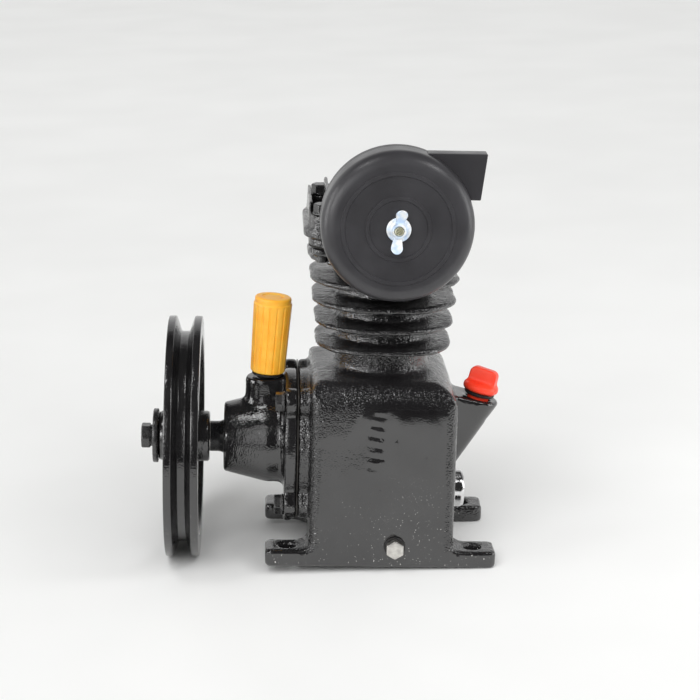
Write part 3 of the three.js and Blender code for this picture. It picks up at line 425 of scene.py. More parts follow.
MADE = (
    black_enamel(),
    surface(
        "black_bolts", (5, 3, 0.4, 0.65, (0.011, 0.011, 0.012), (0.022, 0.021, 0.021)),
        (4, 3, 0.35, 0.7, 0.2, 0.36), (0.9, 2, 0.03, 0.7), (0.54, 0.63, 0.7, (0.2, 0.19, 0.18)), ior=1.85,
    ),
    surface(
        "black_plastic", (30, 3, 0.38, 0.66, (0.032, 0.031, 0.034), (0.043, 0.042, 0.046)),
        (18, 3, 0.35, 0.7, 0.28, 0.38), (0.8, 3, 0.09, 0.7), (0.54, 0.64, 0.35, (0.13, 0.13, 0.135)),
        ior=1.52,
    ),
    moulded("orange_plastic", (1.0, 0.44, 0.03), (1.0, 0.54, 0.06), 0.36),
    moulded("red_plastic", (0.9, 0.045, 0.018), (0.95, 0.07, 0.03), 0.28),
    bright_zinc(),
    metal("dull_zinc", (0.6, 0.58, 0.55), (0.78, 0.76, 0.72), (0.3, 0.46), 4, pit=0.03),
    metal("brass_stud", (0.8, 0.77, 0.54), (0.9, 0.88, 0.7), (0.34, 0.5), 3),
    metal("chrome_bezel", (0.7, 0.7, 0.7), (0.8, 0.8, 0.81), (0.08, 0.2), 6, ("X", 0.5)),
    machined_steel(),
    metal("bearing_steel", (0.58, 0.58, 0.58), (0.68, 0.68, 0.69), (0.1, 0.22), 10, ("X", 0.4)),
    metal("ring_iron", (0.2, 0.2, 0.2), (0.32, 0.31, 0.3), (0.3, 0.46), 8, ("Z", 0.3)),
    metal("cast_aluminium", (0.5, 0.5, 0.51), (0.66, 0.66, 0.66), (0.36, 0.55), 12, None, 0.08),
    metal("bronze", (0.55, 0.33, 0.14), (0.74, 0.5, 0.24), (0.24, 0.4), 5),
    surface(
        "gasket_fibre", (1.2, 4, 0.35, 0.7, (0.018, 0.017, 0.016), (0.05, 0.046, 0.04)),
        (2, 2, 0.3, 0.7, 0.7, 0.9), (0.5, 3, 0.05, 0.8), ior=1.45,
    ),
    surface(
        "black_rubber", (7, 3, 0.35, 0.7, (0.011, 0.011, 0.011), (0.022, 0.021, 0.021)),
        (4, 2, 0.3, 0.7, 0.45, 0.62), (0.5, 2, 0.03, 0.7), ior=1.5,
    ),
    surface(
        "clear_glass", (9, 2, 0.35, 0.7, (0.93, 0.94, 0.9), (0.86, 0.86, 0.78)),
        (3, 3, 0.35, 0.75, 0.02, 0.12), (2.5, 1, 0.01, 0.4), transmission_weight=1.0, ior=1.49,
    ),
    surface(
        "filter_paper", (1.5, 5, 0.3, 0.7, (0.62, 0.55, 0.4), (0.78, 0.72, 0.56)),
        (3, 2, 0.3, 0.7, 0.82, 0.95), (0.35, 4, 0.04, 0.8), ior=1.4,
    ),
    surface(
        "floor_paper", (240, 2, 0.35, 0.65, (0.875, 0.875, 0.868), (0.9, 0.9, 0.893)),
        (60, 2, 0.35, 0.65, 0.75, 0.9), ior=1.4,
    ),
    surface(
        "flag_cloth", (3, 2, 0, 1, (0.006, 0.006, 0.006), (0.012, 0.012, 0.012)),
        (5, 2, 0.3, 0.7, 0.9, 1.0), ior=1.3,
    ),
)
FINISHES = {finish.name: finish.material for finish in MADE}


def stands_for(obj, body, slot_name, *nodes):
    """Puts a piece in its CAD nodes' place, on their body and with their finish."""
    obj.data.materials.clear()
    obj.data.materials.append(FINISHES[slot_name])
    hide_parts(*nodes)
    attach(obj, body)


# ---- casting surfaces ----

def sand(points, seed, coarse=0.3):
    """Uneven skin of a painted sand casting, in millimetres."""
    return (
        coarse * noise(points, 22, seed)
        + 0.5 * coarse * noise(points, 8, seed + 1)
        + 0.26 * coarse * noise(points, 3.4, seed + 2)
    )


def pits(points, places, radius, depth):
    """Dents in the case front's skin at the given places along X and Z."""
    total = np.zeros(len(points), np.float32)
    for x, z in places:
        gap = np.sqrt(((points - np.array((x, -CASE_HALF_DEPTH, z))) ** 2).sum(axis=1))
        total += depth * np.clip(1 - gap / radius, 0, 1) ** 2
    return total


def smoothstep(values, start, end):
    t = np.clip((values - start) / (end - start), 0, 1)
    return t * t * (3 - 2 * t)


# ---- crankcase casting ----

def from_flange_bolt(p):
    """Distance from the nearest of the four flange bolts' axes."""
    return np.hypot(np.abs(p[1]) - FLANGE_BOLT, np.abs(p[2] - CRANK_Z) - FLANGE_BOLT)


def lobed_flange(p, start, end):
    flat = np.hypot(p[1], p[2] - CRANK_Z) - FLANGE_R
    return pushed(fillet(flat, from_flange_bolt(p) - FLANGE_LOBE_R, 5), p[0], start, end)


def case_block(p, inset=0, floor=0):
    """The crankcase's box, or the box inset by its wall thickness."""
    x, y, z = p
    left, right, half, top = CASE_LEFT + inset, CASE_RIGHT - inset, CASE_HALF_DEPTH - inset, CASE_TOP - inset
    front = rounded_rect(y, z, (-half, floor), (half, top), (1, 1, 19 - inset, 19 - inset))
    side = rounded_rect(x, z, (left, floor), (right, top), (1, 1, 20 - inset, 7))
    plan = rounded_rect(x, y, (left, -half), (right, half), 7 - inset / 2)
    return common(front, side, plan)


def feet(p):
    x, y, z = np.abs(p[0]), np.abs(p[1]), p[2]
    near, edge = 36.8, CASE_HALF_DEPTH
    outline = [
        (40, near - 8), (50, near - 8), (63, near), (FOOT_REACH - 3, near), (FOOT_REACH, near + 3),
        (FOOT_REACH, edge - 3), (FOOT_REACH - 3, edge), (40, edge),
    ]
    return pushed(polygon(x, y, outline), z, 0, FOOT_THICK)


def foot_holes(p):
    x, y, r = FOOT_HOLE
    return np.hypot(np.abs(p[0]) - x, np.abs(p[1]) - y) - r


def from_plug(p):
    """Places along and across the filler plug's axis, from the middle of the neck's top face."""
    return rotated(p[2] - PLUG_Z, p[0] - PLUG_X, PLUG_TILT)


def filler_neck(p):
    """Wedge on the right wall that widens upwards to a round-nosed top."""
    x, y, z = p
    rise = (z - NECK_LOW_Z) / 53.4
    half = 6 + 10 * rise
    tip = 56.5 + 34.1 * rise
    flat = np.hypot(np.maximum(x - tip + half, 0), y) - half
    flat = np.maximum(flat, 46 - x) * 0.82
    return common(flat, from_plug(p)[0], NECK_LOW_Z - z)


def tilted_rod(p, radius, start, end):
    """Cylinder along the filler plug's axis, measured from the neck's top face."""
    along, across = from_plug(p)
    return pushed(np.hypot(across, p[1]) - radius, along, start, end)


def crankcase_field(p):
    x, y, z = p
    body = fillet(case_block(p), feet(p), 6)
    body = fillet(body, lobed_flange(p, CASE_FLANGE_X, -50), 3)
    body = fillet(body, rod(p, "z", (0, 0), BARREL_R, 120, CASE_BARREL_TOP), 6)
    body = fillet(body, filler_neck(p), 3)
    body = common(body, -z, np.abs(y) - CASE_HALF_DEPTH)
    body = cut(
        body,
        foot_holes(p),
        case_block(p, CASE_WALL, 8),
        rod(p, "z", (0, 0), BORE_R, 120, 170),
        rod(p, "x", SHAFT, SPIGOT_R + 0.5, -70, -45),
        tilted_rod(p, 9.3, -PLUG_BORE_DEPTH, 6),
        box(p, (40, -7, 94), (70, 7, 107)),
        rod(p, "x", (0, GLASS_Z), 9.6, 40, 60),
        rod(p, "y", (DRAIN_X, DRAIN_Z), 4.6, -70, -50),
    )
    return cut(body, common(from_flange_bolt(p) - TAPPED_HOLE_R, -66 - x, x + 49.5))


FRONT_PITS = (
    (-46, 92), (-19, 116), (9, 100), (-2, 62), (31, 88), (-36, 40), (-47, 34), (38, 38), (18, 30), (-12, 71),
)


def case_skin(points):
    x, y, z = points.T
    skin = sand(points, 11)
    # Sags of thick enamel below the left shoulder, and a row of runs beside them.
    front = smoothstep(-y, 56, 62)
    ridge = z - 98 - 0.42 * (x + 40) - 3 * noise(points, 16, 31)
    sag = smoothstep(ridge, -2.5, 2.5) * smoothstep(-x, 4, 12) * smoothstep(-z, -127, -118)
    skin += 0.9 * front * (sag - 0.5 * smoothstep(-x, 4, 12) * smoothstep(-z, -127, -118))
    reach = 7.5 + 2 * noise(points, 30, 34)
    runs = np.exp(-((x + 6) / reach) ** 4) * smoothstep(z, 72, 80) * smoothstep(-z, -121, -115)
    wave = np.sin((z + 0.16 * x) * 2 * pi / 8.2 + 0.5 * noise(points, 40, 32))
    skin -= 0.75 * front * runs * np.maximum(wave, 0) ** 3
    skin -= pits(points, FRONT_PITS, 2.6, 0.8)
    # A parting line runs up the middle of the front.
    line = np.exp(-((x - 2 - 0.4 * noise(points, 9, 33)) / 0.9) ** 2) * smoothstep(z, 112, 122)
    skin += 0.45 * line * smoothstep(-y, 20, 30) * (0.6 + 0.8 * noise(points, 4, 34))
    # Machined faces stay flat: the base, the flange's face and the neck's top and flanks.
    rough = smoothstep(z, 0.5, 3) * smoothstep(x, CASE_FLANGE_X + 0.5, CASE_FLANGE_X + 3)
    rough *= 1 - 0.85 * smoothstep(x, 55, 58) * smoothstep(z, 40, 60)
    inside = (np.abs(x) < 49) & (np.abs(y) < 59) & (z > 6) & (z < 133)
    inside |= (np.hypot(x, y) < 32.5) & (z > 100)
    return np.where(inside, 0, skin * rough)


crankcase = solid(
    "crankcase_casting", crankcase_field, (-86.5, -64.5, -0.5), (91, 64.5, 161.5), 1.25,
    soften=2, rough=case_skin, adaptivity=0.02,
)
stands_for(crankcase, "block", "black_enamel", "crankcase_with_cylinder")


# ---- finned cylinder ----

def from_head_bolt(p):
    """Distance from the nearest of the four head bolts' axes."""
    return np.hypot(np.abs(p[0] - HEAD_X) - HEAD_BOLT[0], np.abs(p[1]) - HEAD_BOLT[1])


def cylinder_field(p):
    x, y, z = p
    body = rod(p, "z", (0, 0), BARREL_R, CYLINDER_FOOT, DECK_Z)
    for i, reach in enumerate(FIN_REACH):
        middle = FIN_FIRST_Z + i * FIN_PITCH
        fin = [
            (20, middle - 2.7), (reach - 0.3, middle - 2.1), (reach, middle - 1.4),
            (reach - 0.3, middle + 0.9), (reach - 1.8, middle + 1.9), (20, middle + 2.9),
        ]
        outline = rounded_rect(x, y, (-reach, -reach), (reach, reach), reach - FIN_FLAT)
        body = fillet(body, polygon(outline + reach, z, fin), 4)
    deck = rod(p, "z", (0, 0), DECK_R, DECK_Z - DECK_THICK, DECK_Z)
    bolt_x, bolt_y = HEAD_BOLT
    u, v = np.abs(x - HEAD_X), np.abs(y)
    along = np.clip((u * bolt_x + v * bolt_y) / (bolt_x ** 2 + bolt_y ** 2), 0, 1)
    arm = np.hypot(u - along * bolt_x, v - along * bolt_y) - 8.3
    deck = fillet(deck, pushed(arm, z, DECK_Z - DECK_THICK, DECK_Z), 4)
    body = np.maximum(fillet(body, deck, 3), z - DECK_Z)
    holes = np.maximum(from_head_bolt(p) - TAPPED_HOLE_R, 225 - z)
    return cut(body, rod(p, "z", (0, 0), BORE_R, 120, 250), holes)


def cylinder_skin(points):
    x, y, z = points.T
    radius = np.hypot(x, y)
    skin = sand(points, 51, 0.5)
    root = smoothstep(-radius, -40, -36) * smoothstep(radius, 32, 34)
    skin += 0.22 * root * noise(points, 1.9, 55)
    skin += 0.4 * np.exp(-((x - 2) / 0.9) ** 2) * smoothstep(-y, 20, 30)
    return skin * smoothstep(-z, -DECK_Z + 0.5, -DECK_Z + 3) * smoothstep(radius, 31, 33)


cylinder = solid(
    "finned_cylinder", cylinder_field, (-59, -59, 157.5), (59, 59, DECK_Z + 0.2), 1.0,
    soften=2, rough=cylinder_skin, adaptivity=0.01,
)
stands_for(cylinder, "block", "black_enamel", "crankcase_with_cylinder")


# ---- cylinder head ----

HEAD_FINS = ((6, 284), (18, 283), (30, 281), (42, 277), (54, 270))


def head_field(p):
    x, y, z = p
    u = x - HEAD_X
    outline = rounded_rect(u, y, (-59, -50), (59, 50), 22)
    body = pushed(outline, z, HEAD_Z, HEAD_Z + 7)
    body = fillet(body, pushed(rounded_rect(u, y, (-37, -44), (37, 44), 8), z, HEAD_Z + 1, 266), 5)
    inset = outline + 3
    for offset, top in HEAD_FINS:
        half = 2.2 - 0.9 * np.clip((z - HEAD_Z) / (top - HEAD_Z), 0, 1)
        fin = np.maximum(np.abs(np.abs(u) - offset) - half, inset)
        body = fillet(body, pushed(fin, z, HEAD_Z + 4, top), 2.5)
    bolt = from_head_bolt(p)
    body = cut(body, np.maximum(bolt - 9.7, HEAD_SEAT_Z - z))
    body = fillet(body, pushed(bolt - 8.2, z, HEAD_Z + 1, HEAD_SEAT_Z), 2)
    body = fillet(body, rod(p, "y", FILTER, 17, -52.5, -20), 3)
    body = fillet(body, rod(p, "y", (HEAD_X, PORT_Z), 14, 20, 55), 3)
    body = np.maximum(body, HEAD_Z - z)
    chamber = rounded_rect(u, np.abs(y), (-31, 3), (31, 38), 6)
    return cut(
        body,
        pushed(chamber, z, HEAD_Z - 3, 260),
        rod(p, "y", FILTER, 11.6, -60, -24),
        rod(p, "y", (HEAD_X, PORT_Z), 8.3, 30, 60),
        bolt - CLEAR_HOLE_R,
    )


def head_skin(points):
    y, z = points.T[1:]
    faces = smoothstep(z, HEAD_Z + 0.5, HEAD_Z + 3) * smoothstep(-y, -54, -52) * smoothstep(y, -51.5, -49.5)
    return sand(points, 71, 0.22) * faces * smoothstep(from_head_bolt(points.T), 9, 11)


head = solid(
    "cylinder_head_casting", head_field, (-61.5, -53, HEAD_Z), (57.5, 55.5, 284.5), 1.0,
    soften=1, rough=head_skin, adaptivity=0.01,
)
stands_for(head, "block", "black_enamel", "cylinder_head")


# ---- bearing carrier ----

def carrier_field(p):
    left, right = CARRIER_X
    snout = [
        (-9, SNOUT_X), (SNOUT_TIP_R, SNOUT_X), (SNOUT_ROOT_R, SNOUT_CONE_X), (SNOUT_ROOT_R, left + 2),
        (-9, left + 2),
    ]
    body = turned(p, "x", SHAFT, snout)
    body = fillet(body, lobed_flange(p, left, right), 6)
    body = fillet(body, rod(p, "z", (BREATHER_X, 0), 14.5, CRANK_Z + 5, BREATHER_Z), 5)
    # A small cast nub hangs under the flange's lower front lobe.
    body = fillet(body, box(p, (-72, -44, 29), (-67, -39, 34), 1.5), 3)
    body = union(body, rod(p, "x", SHAFT, SPIGOT_R, right - 1, SPIGOT_X))
    bore = [
        (-9, SNOUT_X - 4), (19, SNOUT_X - 4), (19, -108.6), (16, -108.6), (16, -104.2), (26.5, -104.2),
        (26.5, -63), (31.4, -60.4), (31.4, SPIGOT_X + 4), (-9, SPIGOT_X + 4),
    ]
    return cut(
        body,
        turned(p, "x", SHAFT, bore),
        from_flange_bolt(p) - CLEAR_HOLE_R,
        rod(p, "z", (CAP_X, 0), 7, CRANK_Z + 15, BREATHER_Z + 4),
    )


def carrier_skin(points):
    x, y, z = points.T
    radius = np.hypot(y, z - CRANK_Z)
    skin = sand(points, 91, 0.22) + 0.1 * noise(points, 2.2, 95)
    line = np.exp(-((y + 1) / 0.8) ** 2) * smoothstep(x, -112, -108) * smoothstep(-x, 78, 84)
    skin += 0.3 * line
    outer = smoothstep(radius, 31, 33) + smoothstep(-x, 66, 72) * smoothstep(radius, 22, 24)
    right = CARRIER_X[1]
    faces = smoothstep(x, SNOUT_X + 0.3, SNOUT_X + 2) * smoothstep(x, right - 0.5, right - 3)
    faces *= smoothstep(z, BREATHER_Z - 0.3, BREATHER_Z - 2)
    return skin * np.clip(outer, 0, 1) * faces


carrier = solid(
    "bearing_carrier_casting", carrier_field, (-118, -53.5, 28), (-40.5, 53.5, 134), 1.0,
    soften=2, rough=carrier_skin, adaptivity=0.01,
)
stands_for(carrier, "block", "black_enamel", "bearing_carrier")


# ---- turned and flat pieces ----

def eased(profile, radius, steps=3, closed=False):
    """The profile with each corner replaced by a small curve."""
    points = [np.array(c, float) for c in profile]
    result = []
    for i, corner in enumerate(points):
        if not closed and i in (0, len(points) - 1):
            result.append(corner)
            continue
        back, ahead = points[i - 1] - corner, points[(i + 1) % len(points)] - corner
        reach = min(radius, 0.45 * np.hypot(*back), 0.45 * np.hypot(*ahead))
        start = corner + back / np.hypot(*back) * reach
        end = corner + ahead / np.hypot(*ahead) * reach
        for t in np.linspace(0, 1, steps + 1):
            result.append((1 - t) ** 2 * start + 2 * t * (1 - t) * corner + t * t * end)
    return result


def sharpen(obj, degrees=35):
    obj.data.set_sharp_from_angle(angle=radians(degrees))
    return obj


def merged(obj):
    """Joins the points that lie on each other, which closes a turned mesh at its axis."""
    mesh = bmesh.new()
    mesh.from_mesh(obj.data)
    bmesh.ops.remove_doubles(mesh, verts=mesh.verts, dist=1e-6)
    bmesh.ops.recalc_face_normals(mesh, faces=mesh.faces)
    mesh.to_mesh(obj.data)
    mesh.free()
    return sharpen(obj)


def grid_faces(rows, columns, closed_rows):
    i, j = np.meshgrid(np.arange(rows if closed_rows else rows - 1), np.arange(columns), indexing="ij")
    a, b = i * columns + j, ((i + 1) % rows) * columns + j
    c, d = ((i + 1) % rows) * columns + (j + 1) % columns, i * columns + (j + 1) % columns
    return np.stack([a, b, c, d], axis=-1).reshape(-1, 4)


def lathe(name, axis, centre, profile, segments, closed=False, shape=None):
    """Turned mesh. shape(angle, radius, along) may change the radius, for flutes and the like."""
    angles = np.linspace(0, 2 * pi, segments, endpoint=False)
    profile = np.array(profile, float)
    radius = np.repeat(profile[:, :1], segments, axis=1)
    along = np.repeat(profile[:, 1:], segments, axis=1)
    if shape is not None:
        radius = shape(angles[None, :], radius, along)
    u, v = radius * np.cos(angles), radius * np.sin(angles)
    i = "xyz".index(axis)
    others = [j for j in range(3) if j != i]
    points = np.zeros(radius.shape + (3,))
    points[..., i] = along
    points[..., others[0]], points[..., others[1]] = u + centre[0], v + centre[1]
    obj = mesh_object(name, points.reshape(-1, 3), [grid_faces(len(profile), segments, closed)])
    return merged(obj)


def eased_ring(name, axis, centre, profile, ease, segments):
    """Turned ring whose closed section has eased corners."""
    return lathe(name, axis, centre, eased(profile, ease, closed=True), segments, closed=True)


def arc(centre, radius, start, end, steps):
    """Points of an arc, its angles in degrees, in (first, second) coordinates."""
    angles = np.radians(np.linspace(start, end, steps + 1))
    return [(centre[0] + radius * cos(a), centre[1] + radius * sin(a)) for a in angles]


def plate(name, outline, axis, start, end, holes=(), bevel=0.0):
    """Flat outline with holes, pushed along an axis; holes are outlines too."""
    curve = bpy.data.curves.new(name, "CURVE")
    curve.dimensions = "2D"
    curve.fill_mode = "BOTH"
    curve.extrude = ((end - start) / 2 - bevel) * MM
    curve.bevel_depth = bevel * MM
    curve.bevel_resolution = 2
    curve.offset = -bevel * MM
    for ring in (outline, *holes):
        spline = curve.splines.new("POLY")
        spline.points.add(len(ring) - 1)
        for point, (u, v) in zip(spline.points, ring):
            point.co = (u * MM, v * MM, 0, 1)
        spline.use_cyclic_u = True
    shape = bpy.data.objects.new(name, curve)
    mesh = bpy.data.meshes.new_from_object(shape)
    bpy.data.objects.remove(shape)
    middle = (start + end) / 2 * MM
    if axis == "z":
        mesh.transform(Matrix.Translation((0, 0, middle)))
    else:  # drawn in X,Z and pushed along Y
        mesh.transform(Matrix.Translation((0, middle, 0)) @ Matrix.Rotation(radians(90), 4, "X"))
    mesh.shade_smooth()
    obj = bpy.data.objects.new(name, mesh)
    scene.collection.objects.link(obj)
    return merged(obj)


def combined(obj, other, operation):
    """Boolean of two closed meshes; the other one is used up."""
    modifier = obj.modifiers.new("combine", "BOOLEAN")
    modifier.operation = operation
    modifier.solver = "MANIFOLD"
    modifier.object = other
    mesh = bpy.data.meshes.new_from_object(obj.evaluated_get(bpy.context.evaluated_depsgraph_get()))
    obj.modifiers.clear()
    mesh.name = obj.name
    obj.data = mesh
    bpy.data.objects.remove(other)
    mesh.shade_smooth()
    return sharpen(obj)


def circle(x, y, radius, segments=32):
    return arc((x, y), radius, 0, 360 - 360 / segments, segments - 1)


def rounded_outline(low, high, radius, steps=10):
    (u0, v0), (u1, v1) = low, high
    turns = [
        (u1 - radius, v0 + radius, -90), (u1 - radius, v1 - radius, 0),
        (u0 + radius, v1 - radius, 90), (u0 + radius, v0 + radius, 180),
    ]
    return [c for u, v, start in turns for c in arc((u, v), radius, start, start + 90, steps)]


# ---- flywheel ----

WHEEL_R, WHEEL_LEFT, WHEEL_RIGHT = 91, -160, -135
GROOVE_R, RIM_INNER_R, WHEEL_HUB_R = 79.5, 73, 19.2
BLADES, BLADE_PITCH = 6, radians(28)
WHEEL_MIDDLE = (WHEEL_LEFT + WHEEL_RIGHT) / 2


def fan_field(p):
    """Hub and fan blades; each blade is pitched about its own radius."""
    x, y, z = p[0] - WHEEL_MIDDLE, p[1], p[2] - CRANK_Z
    body = rod(p, "x", SHAFT, WHEEL_HUB_R, -164.2, -128.4)
    body = union(body, rod(p, "x", SHAFT, 18.5, -167, -160))
    sector = 2 * pi / BLADES
    angle = np.arctan2(z, y) - 0.35 * sector
    folded = (angle + sector / 2) % sector - sector / 2
    radius = np.hypot(y, z)
    along, across = radius * np.cos(folded), radius * np.sin(folded)
    thick, side = rotated(x, across, BLADE_PITCH)
    width = np.interp(along, (17, 48, 62, 74), (16, 17.5, 11, 10))
    thickness = np.abs(thick - 0.8 * np.sin(side / 9)) - 2.6
    return fillet(body, common(np.abs(side) - width, thickness, 10 - along, radius - 74.4), 6)


def flywheel_skin(points):
    radius = np.hypot(points[:, 1], points[:, 2] - CRANK_Z)
    return sand(points, 131, 0.25) * smoothstep(radius, 19.5, 22) * smoothstep(-radius, -74, -72)


def build_flywheel():
    lip = 5.5
    rim = [
        (WHEEL_R, WHEEL_LEFT), (WHEEL_R, WHEEL_LEFT + lip), (GROOVE_R, WHEEL_MIDDLE - 3),
        (GROOVE_R, WHEEL_MIDDLE + 3), (WHEEL_R, WHEEL_RIGHT - lip), (WHEEL_R, WHEEL_RIGHT),
        (RIM_INNER_R + 3.5, WHEEL_RIGHT), (RIM_INNER_R, WHEEL_MIDDLE), (RIM_INNER_R + 3.5, WHEEL_LEFT),
    ]
    wheel = eased_ring("flywheel_casting", "x", SHAFT, rim, 0.9, 240)
    fan = solid(
        "fan", fan_field, (-167.5, -75, 6), (-128, 75, 156), 1.1,
        soften=2, rough=flywheel_skin, adaptivity=0.01,
    )
    wheel = combined(wheel, fan, "UNION")
    bore = lathe("bore", "x", SHAFT, [(0, -170), (11.7, -170), (11.7, -125), (0, -125)], 64)
    wheel = combined(wheel, bore, "DIFFERENCE")
    stands_for(wheel, "crank", "black_enamel", "flywheel")


build_flywheel()
washer_profile = [(5.6, -171.2), (20.5, -171.2), (20.5, -167.2), (5.6, -167.2)]
washer = eased_ring("flywheel_washer_turned", "x", SHAFT, washer_profile, 1.1, 96)
stands_for(washer, "crank", "black_bolts", "flywheel_washer")


# ---- bolts ----

def bolt_field(across_flats, head, washer_r, shank_r, length):
    """Hexagon-headed bolt with a washer under its chamfered head, which points along +Z."""
    def field(p):
        x, y, z = p
        radius = np.hypot(x, y)
        hexed = hex_head(x, y, z, across_flats, across_flats / 2 + 0.2, 1.4, 1.6 + head)
        thread = shank_r + 0.25 * np.sin(2 * pi * z / 1.25) * (z < -length * 0.3)
        shank = common(radius - thread, z - 1, -length - z)
        return union(hexed, pushed(radius - washer_r, z, 0, 1.6), shank)
    return field


def bolts(prefix, body, places, turn, mesh_source):
    """One bolt for each CAD node, all with one mesh."""
    for i, place in enumerate(places, start=1):
        bolt = bpy.data.objects.new(f"{prefix}_{i}_bolt", mesh_source.data)
        scene.collection.objects.link(bolt)
        bolt.matrix_world = Matrix.Translation(Vector(place) * MM) @ turn
        stands_for(bolt, body, "black_bolts", f"{prefix}_{i}")


corners = [(a, b) for a in (-1, 1) for b in (-1, 1)]
carrier_bolt = solid(
    "carrier_bolt_mesh", bolt_field(13, 5.6, 7.8, 3.6, 21.3), (-8, -8, -21.5), (8, 8, 7.4), 0.42, 1,
)
bolts(
    "carrier_bolt", "block",
    [(CARRIER_X[0] - 0.2, a * FLANGE_BOLT, CRANK_Z + b * FLANGE_BOLT) for a, b in corners],
    Matrix.Rotation(radians(-90), 4, "Y"), carrier_bolt,
)
head_bolt = solid("head_bolt_mesh", bolt_field(13, 6.2, 7.8, 3.6, 35.3), (-8, -8, -35.5), (8, 8, 8), 0.42, 1)
bolts(
    "head_bolt", "block",
    [(HEAD_X + a * HEAD_BOLT[0], b * HEAD_BOLT[1], HEAD_SEAT_Z + 0.2) for a, b in corners],
    Matrix.Rotation(radians(30), 4, "Z"), head_bolt,
)
for source in (carrier_bolt, head_bolt):
    bpy.data.objects.remove(source)


def flywheel_bolt_field(p):
    x, y, z = p[0], p[1], p[2] - CRANK_Z
    radius = np.hypot(y, z)
    hexed = hex_head(y, z, -x, 17, 8.7, 173.4, 180.2, 90)
    return union(hexed, pushed(radius - 8.2, x, -174, -171.4), pushed(radius - 4.9, x, -172, -144))


flywheel_bolt = solid("flywheel_bolt_turned", flywheel_bolt_field, (-180.3, -10, 71), (-144, 10, 91), 0.45, 1)
stands_for(flywheel_bolt, "crank", "black_bolts", "flywheel_bolt")


# ---- crankshaft ----

def crankshaft_field(p):
    x, y, z = p[0], p[1], p[2] - CRANK_Z
    radius = np.hypot(y, z)
    steps = [
        (-9, -163.6), (10.5, -163.6), (11.5, -162.6), (11.5, -120), (12.5, -119), (12.5, -88.9), (14, -88.9),
        (14, -63), (15, -62), (15, -43.9), (19, -43.9), (19, -29), (-9, -29),
    ]
    line = polygon(radius, x, steps)
    throw = np.hypot(y, z - 16)
    swing = common(radius - 42, z + 4, np.abs(y) * 0.95 + z * 0.25 - 37)
    web = fillet(fillet(radius - 20, throw - 15.5, 8), swing, 6)
    body = fillet(line, pushed(web, x, -30, -12), 3)
    body = union(body, pushed(throw - 14, x, -13, -9), pushed(throw - 11, x, -10, 9.1))
    keyway = common(np.abs(y) - 2.6, 8.4 - z, -159.3 - x, x + 134.7)
    return cut(body, keyway, pushed(radius - 5.2, x, -170, -138), pushed(throw - 4.1, x, -8, 20))


crankshaft = solid(
    "crankshaft_forging", crankshaft_field, (-164, -43, 38), (9.5, 43, 114), 0.9, 1, adaptivity=0.004,
)
stands_for(crankshaft, "crank", "machined_steel", "crankshaft")


# ---- intake filter ----

COVER_END = FILTER_Y + 29.4


def cover_profile():
    """Outer and inner wall of the cover as one closed outline."""
    y, end, shoulder_r, shoulder = FILTER_Y, COVER_END, 43, 11
    outer = [(4.1, y)]
    for ridge in (21.8, 38.8):
        outer += [(ridge - 1.6, y), (ridge - 1.25, y - 0.68), (ridge + 1.25, y - 0.68), (ridge + 1.6, y)]
    outer += arc((shoulder_r, y + shoulder), shoulder, -87, 0, 13)
    outer += [(54, end - 3.2), (53.6, end - 2.9), (53.6, end - 2.4), (54, end - 2.1), (54, end)]
    inner = [(51.8, end)] + arc((shoulder_r, y + shoulder), shoulder - 2.2, 0, -90, 8)
    return outer + inner + [(4.1, y + 2.2)]


def build_cover():
    cover = lathe("filter_cover_shell", "y", FILTER, cover_profile(), 192, closed=True)
    x, z, near = FILTER_X, FILTER_Z, FILTER_Y + 15.5
    outline = [(x + 20, z + 18), (x + 58, z + 18), (x + 61.8, z + 50.7), (x + 20, z + 50.7)]
    horn = plate("horn", eased(outline, 0.8, closed=True), "y", near, COVER_END, bevel=0.5)
    inside = [(0, FILTER_Y), (52.9, FILTER_Y), (52.9, COVER_END + 1), (0, COVER_END + 1)]
    horn = combined(horn, lathe("hollow", "y", FILTER, inside, 96), "DIFFERENCE")
    cover = combined(cover, horn, "UNION")
    passage = [(x + 34, z + 20), (x + 70, z + 20), (x + 70, z + 48.7), (x + 34, z + 48.7)]
    cover = combined(cover, plate("passage", passage, "y", near + 2, COVER_END - 2), "DIFFERENCE")
    stands_for(cover, "filter_cover", "black_plastic", "filter_cover")


build_cover()

plate_profile = [
    (6.5, -66.7), (49.2, -66.7), (49.2, -70.7), (51.2, -70.7), (51.4, -66.7), (54, -66.5), (54, -62.9),
    (46, -62.7), (44, -61.9), (20, -61.9), (14, -60.5), (14, -52.9), (11.3, -52.9), (11.3, -40.1),
    (9.2, -40.1), (9.2, -61), (6.5, -62.6),
]
back_plate = eased_ring("filter_back_plate_moulding", "y", FILTER, plate_profile, 0.5, 160)
stands_for(back_plate, "block", "black_plastic", "filter_back_plate")


def build_element():
    """Pleated paper ring."""
    pleats = 56
    outer, inner = [], []
    for i in range(2 * pleats):
        angle = pi * i / pleats
        c, s = cos(angle), sin(angle)
        outside, inside = (45, 28.6) if i % 2 == 0 else (30.5, 26.2)
        outer.append((FILTER_X + outside * c, FILTER_Z + outside * s))
        inner.append((FILTER_X + inside * c, FILTER_Z + inside * s))
    element = plate("filter_paper_pleats", outer, "y", FILTER_Y + 4.1, FILTER_Y + 25.4, [inner])
    stands_for(element, "block", "filter_paper", "filter_element")


build_element()


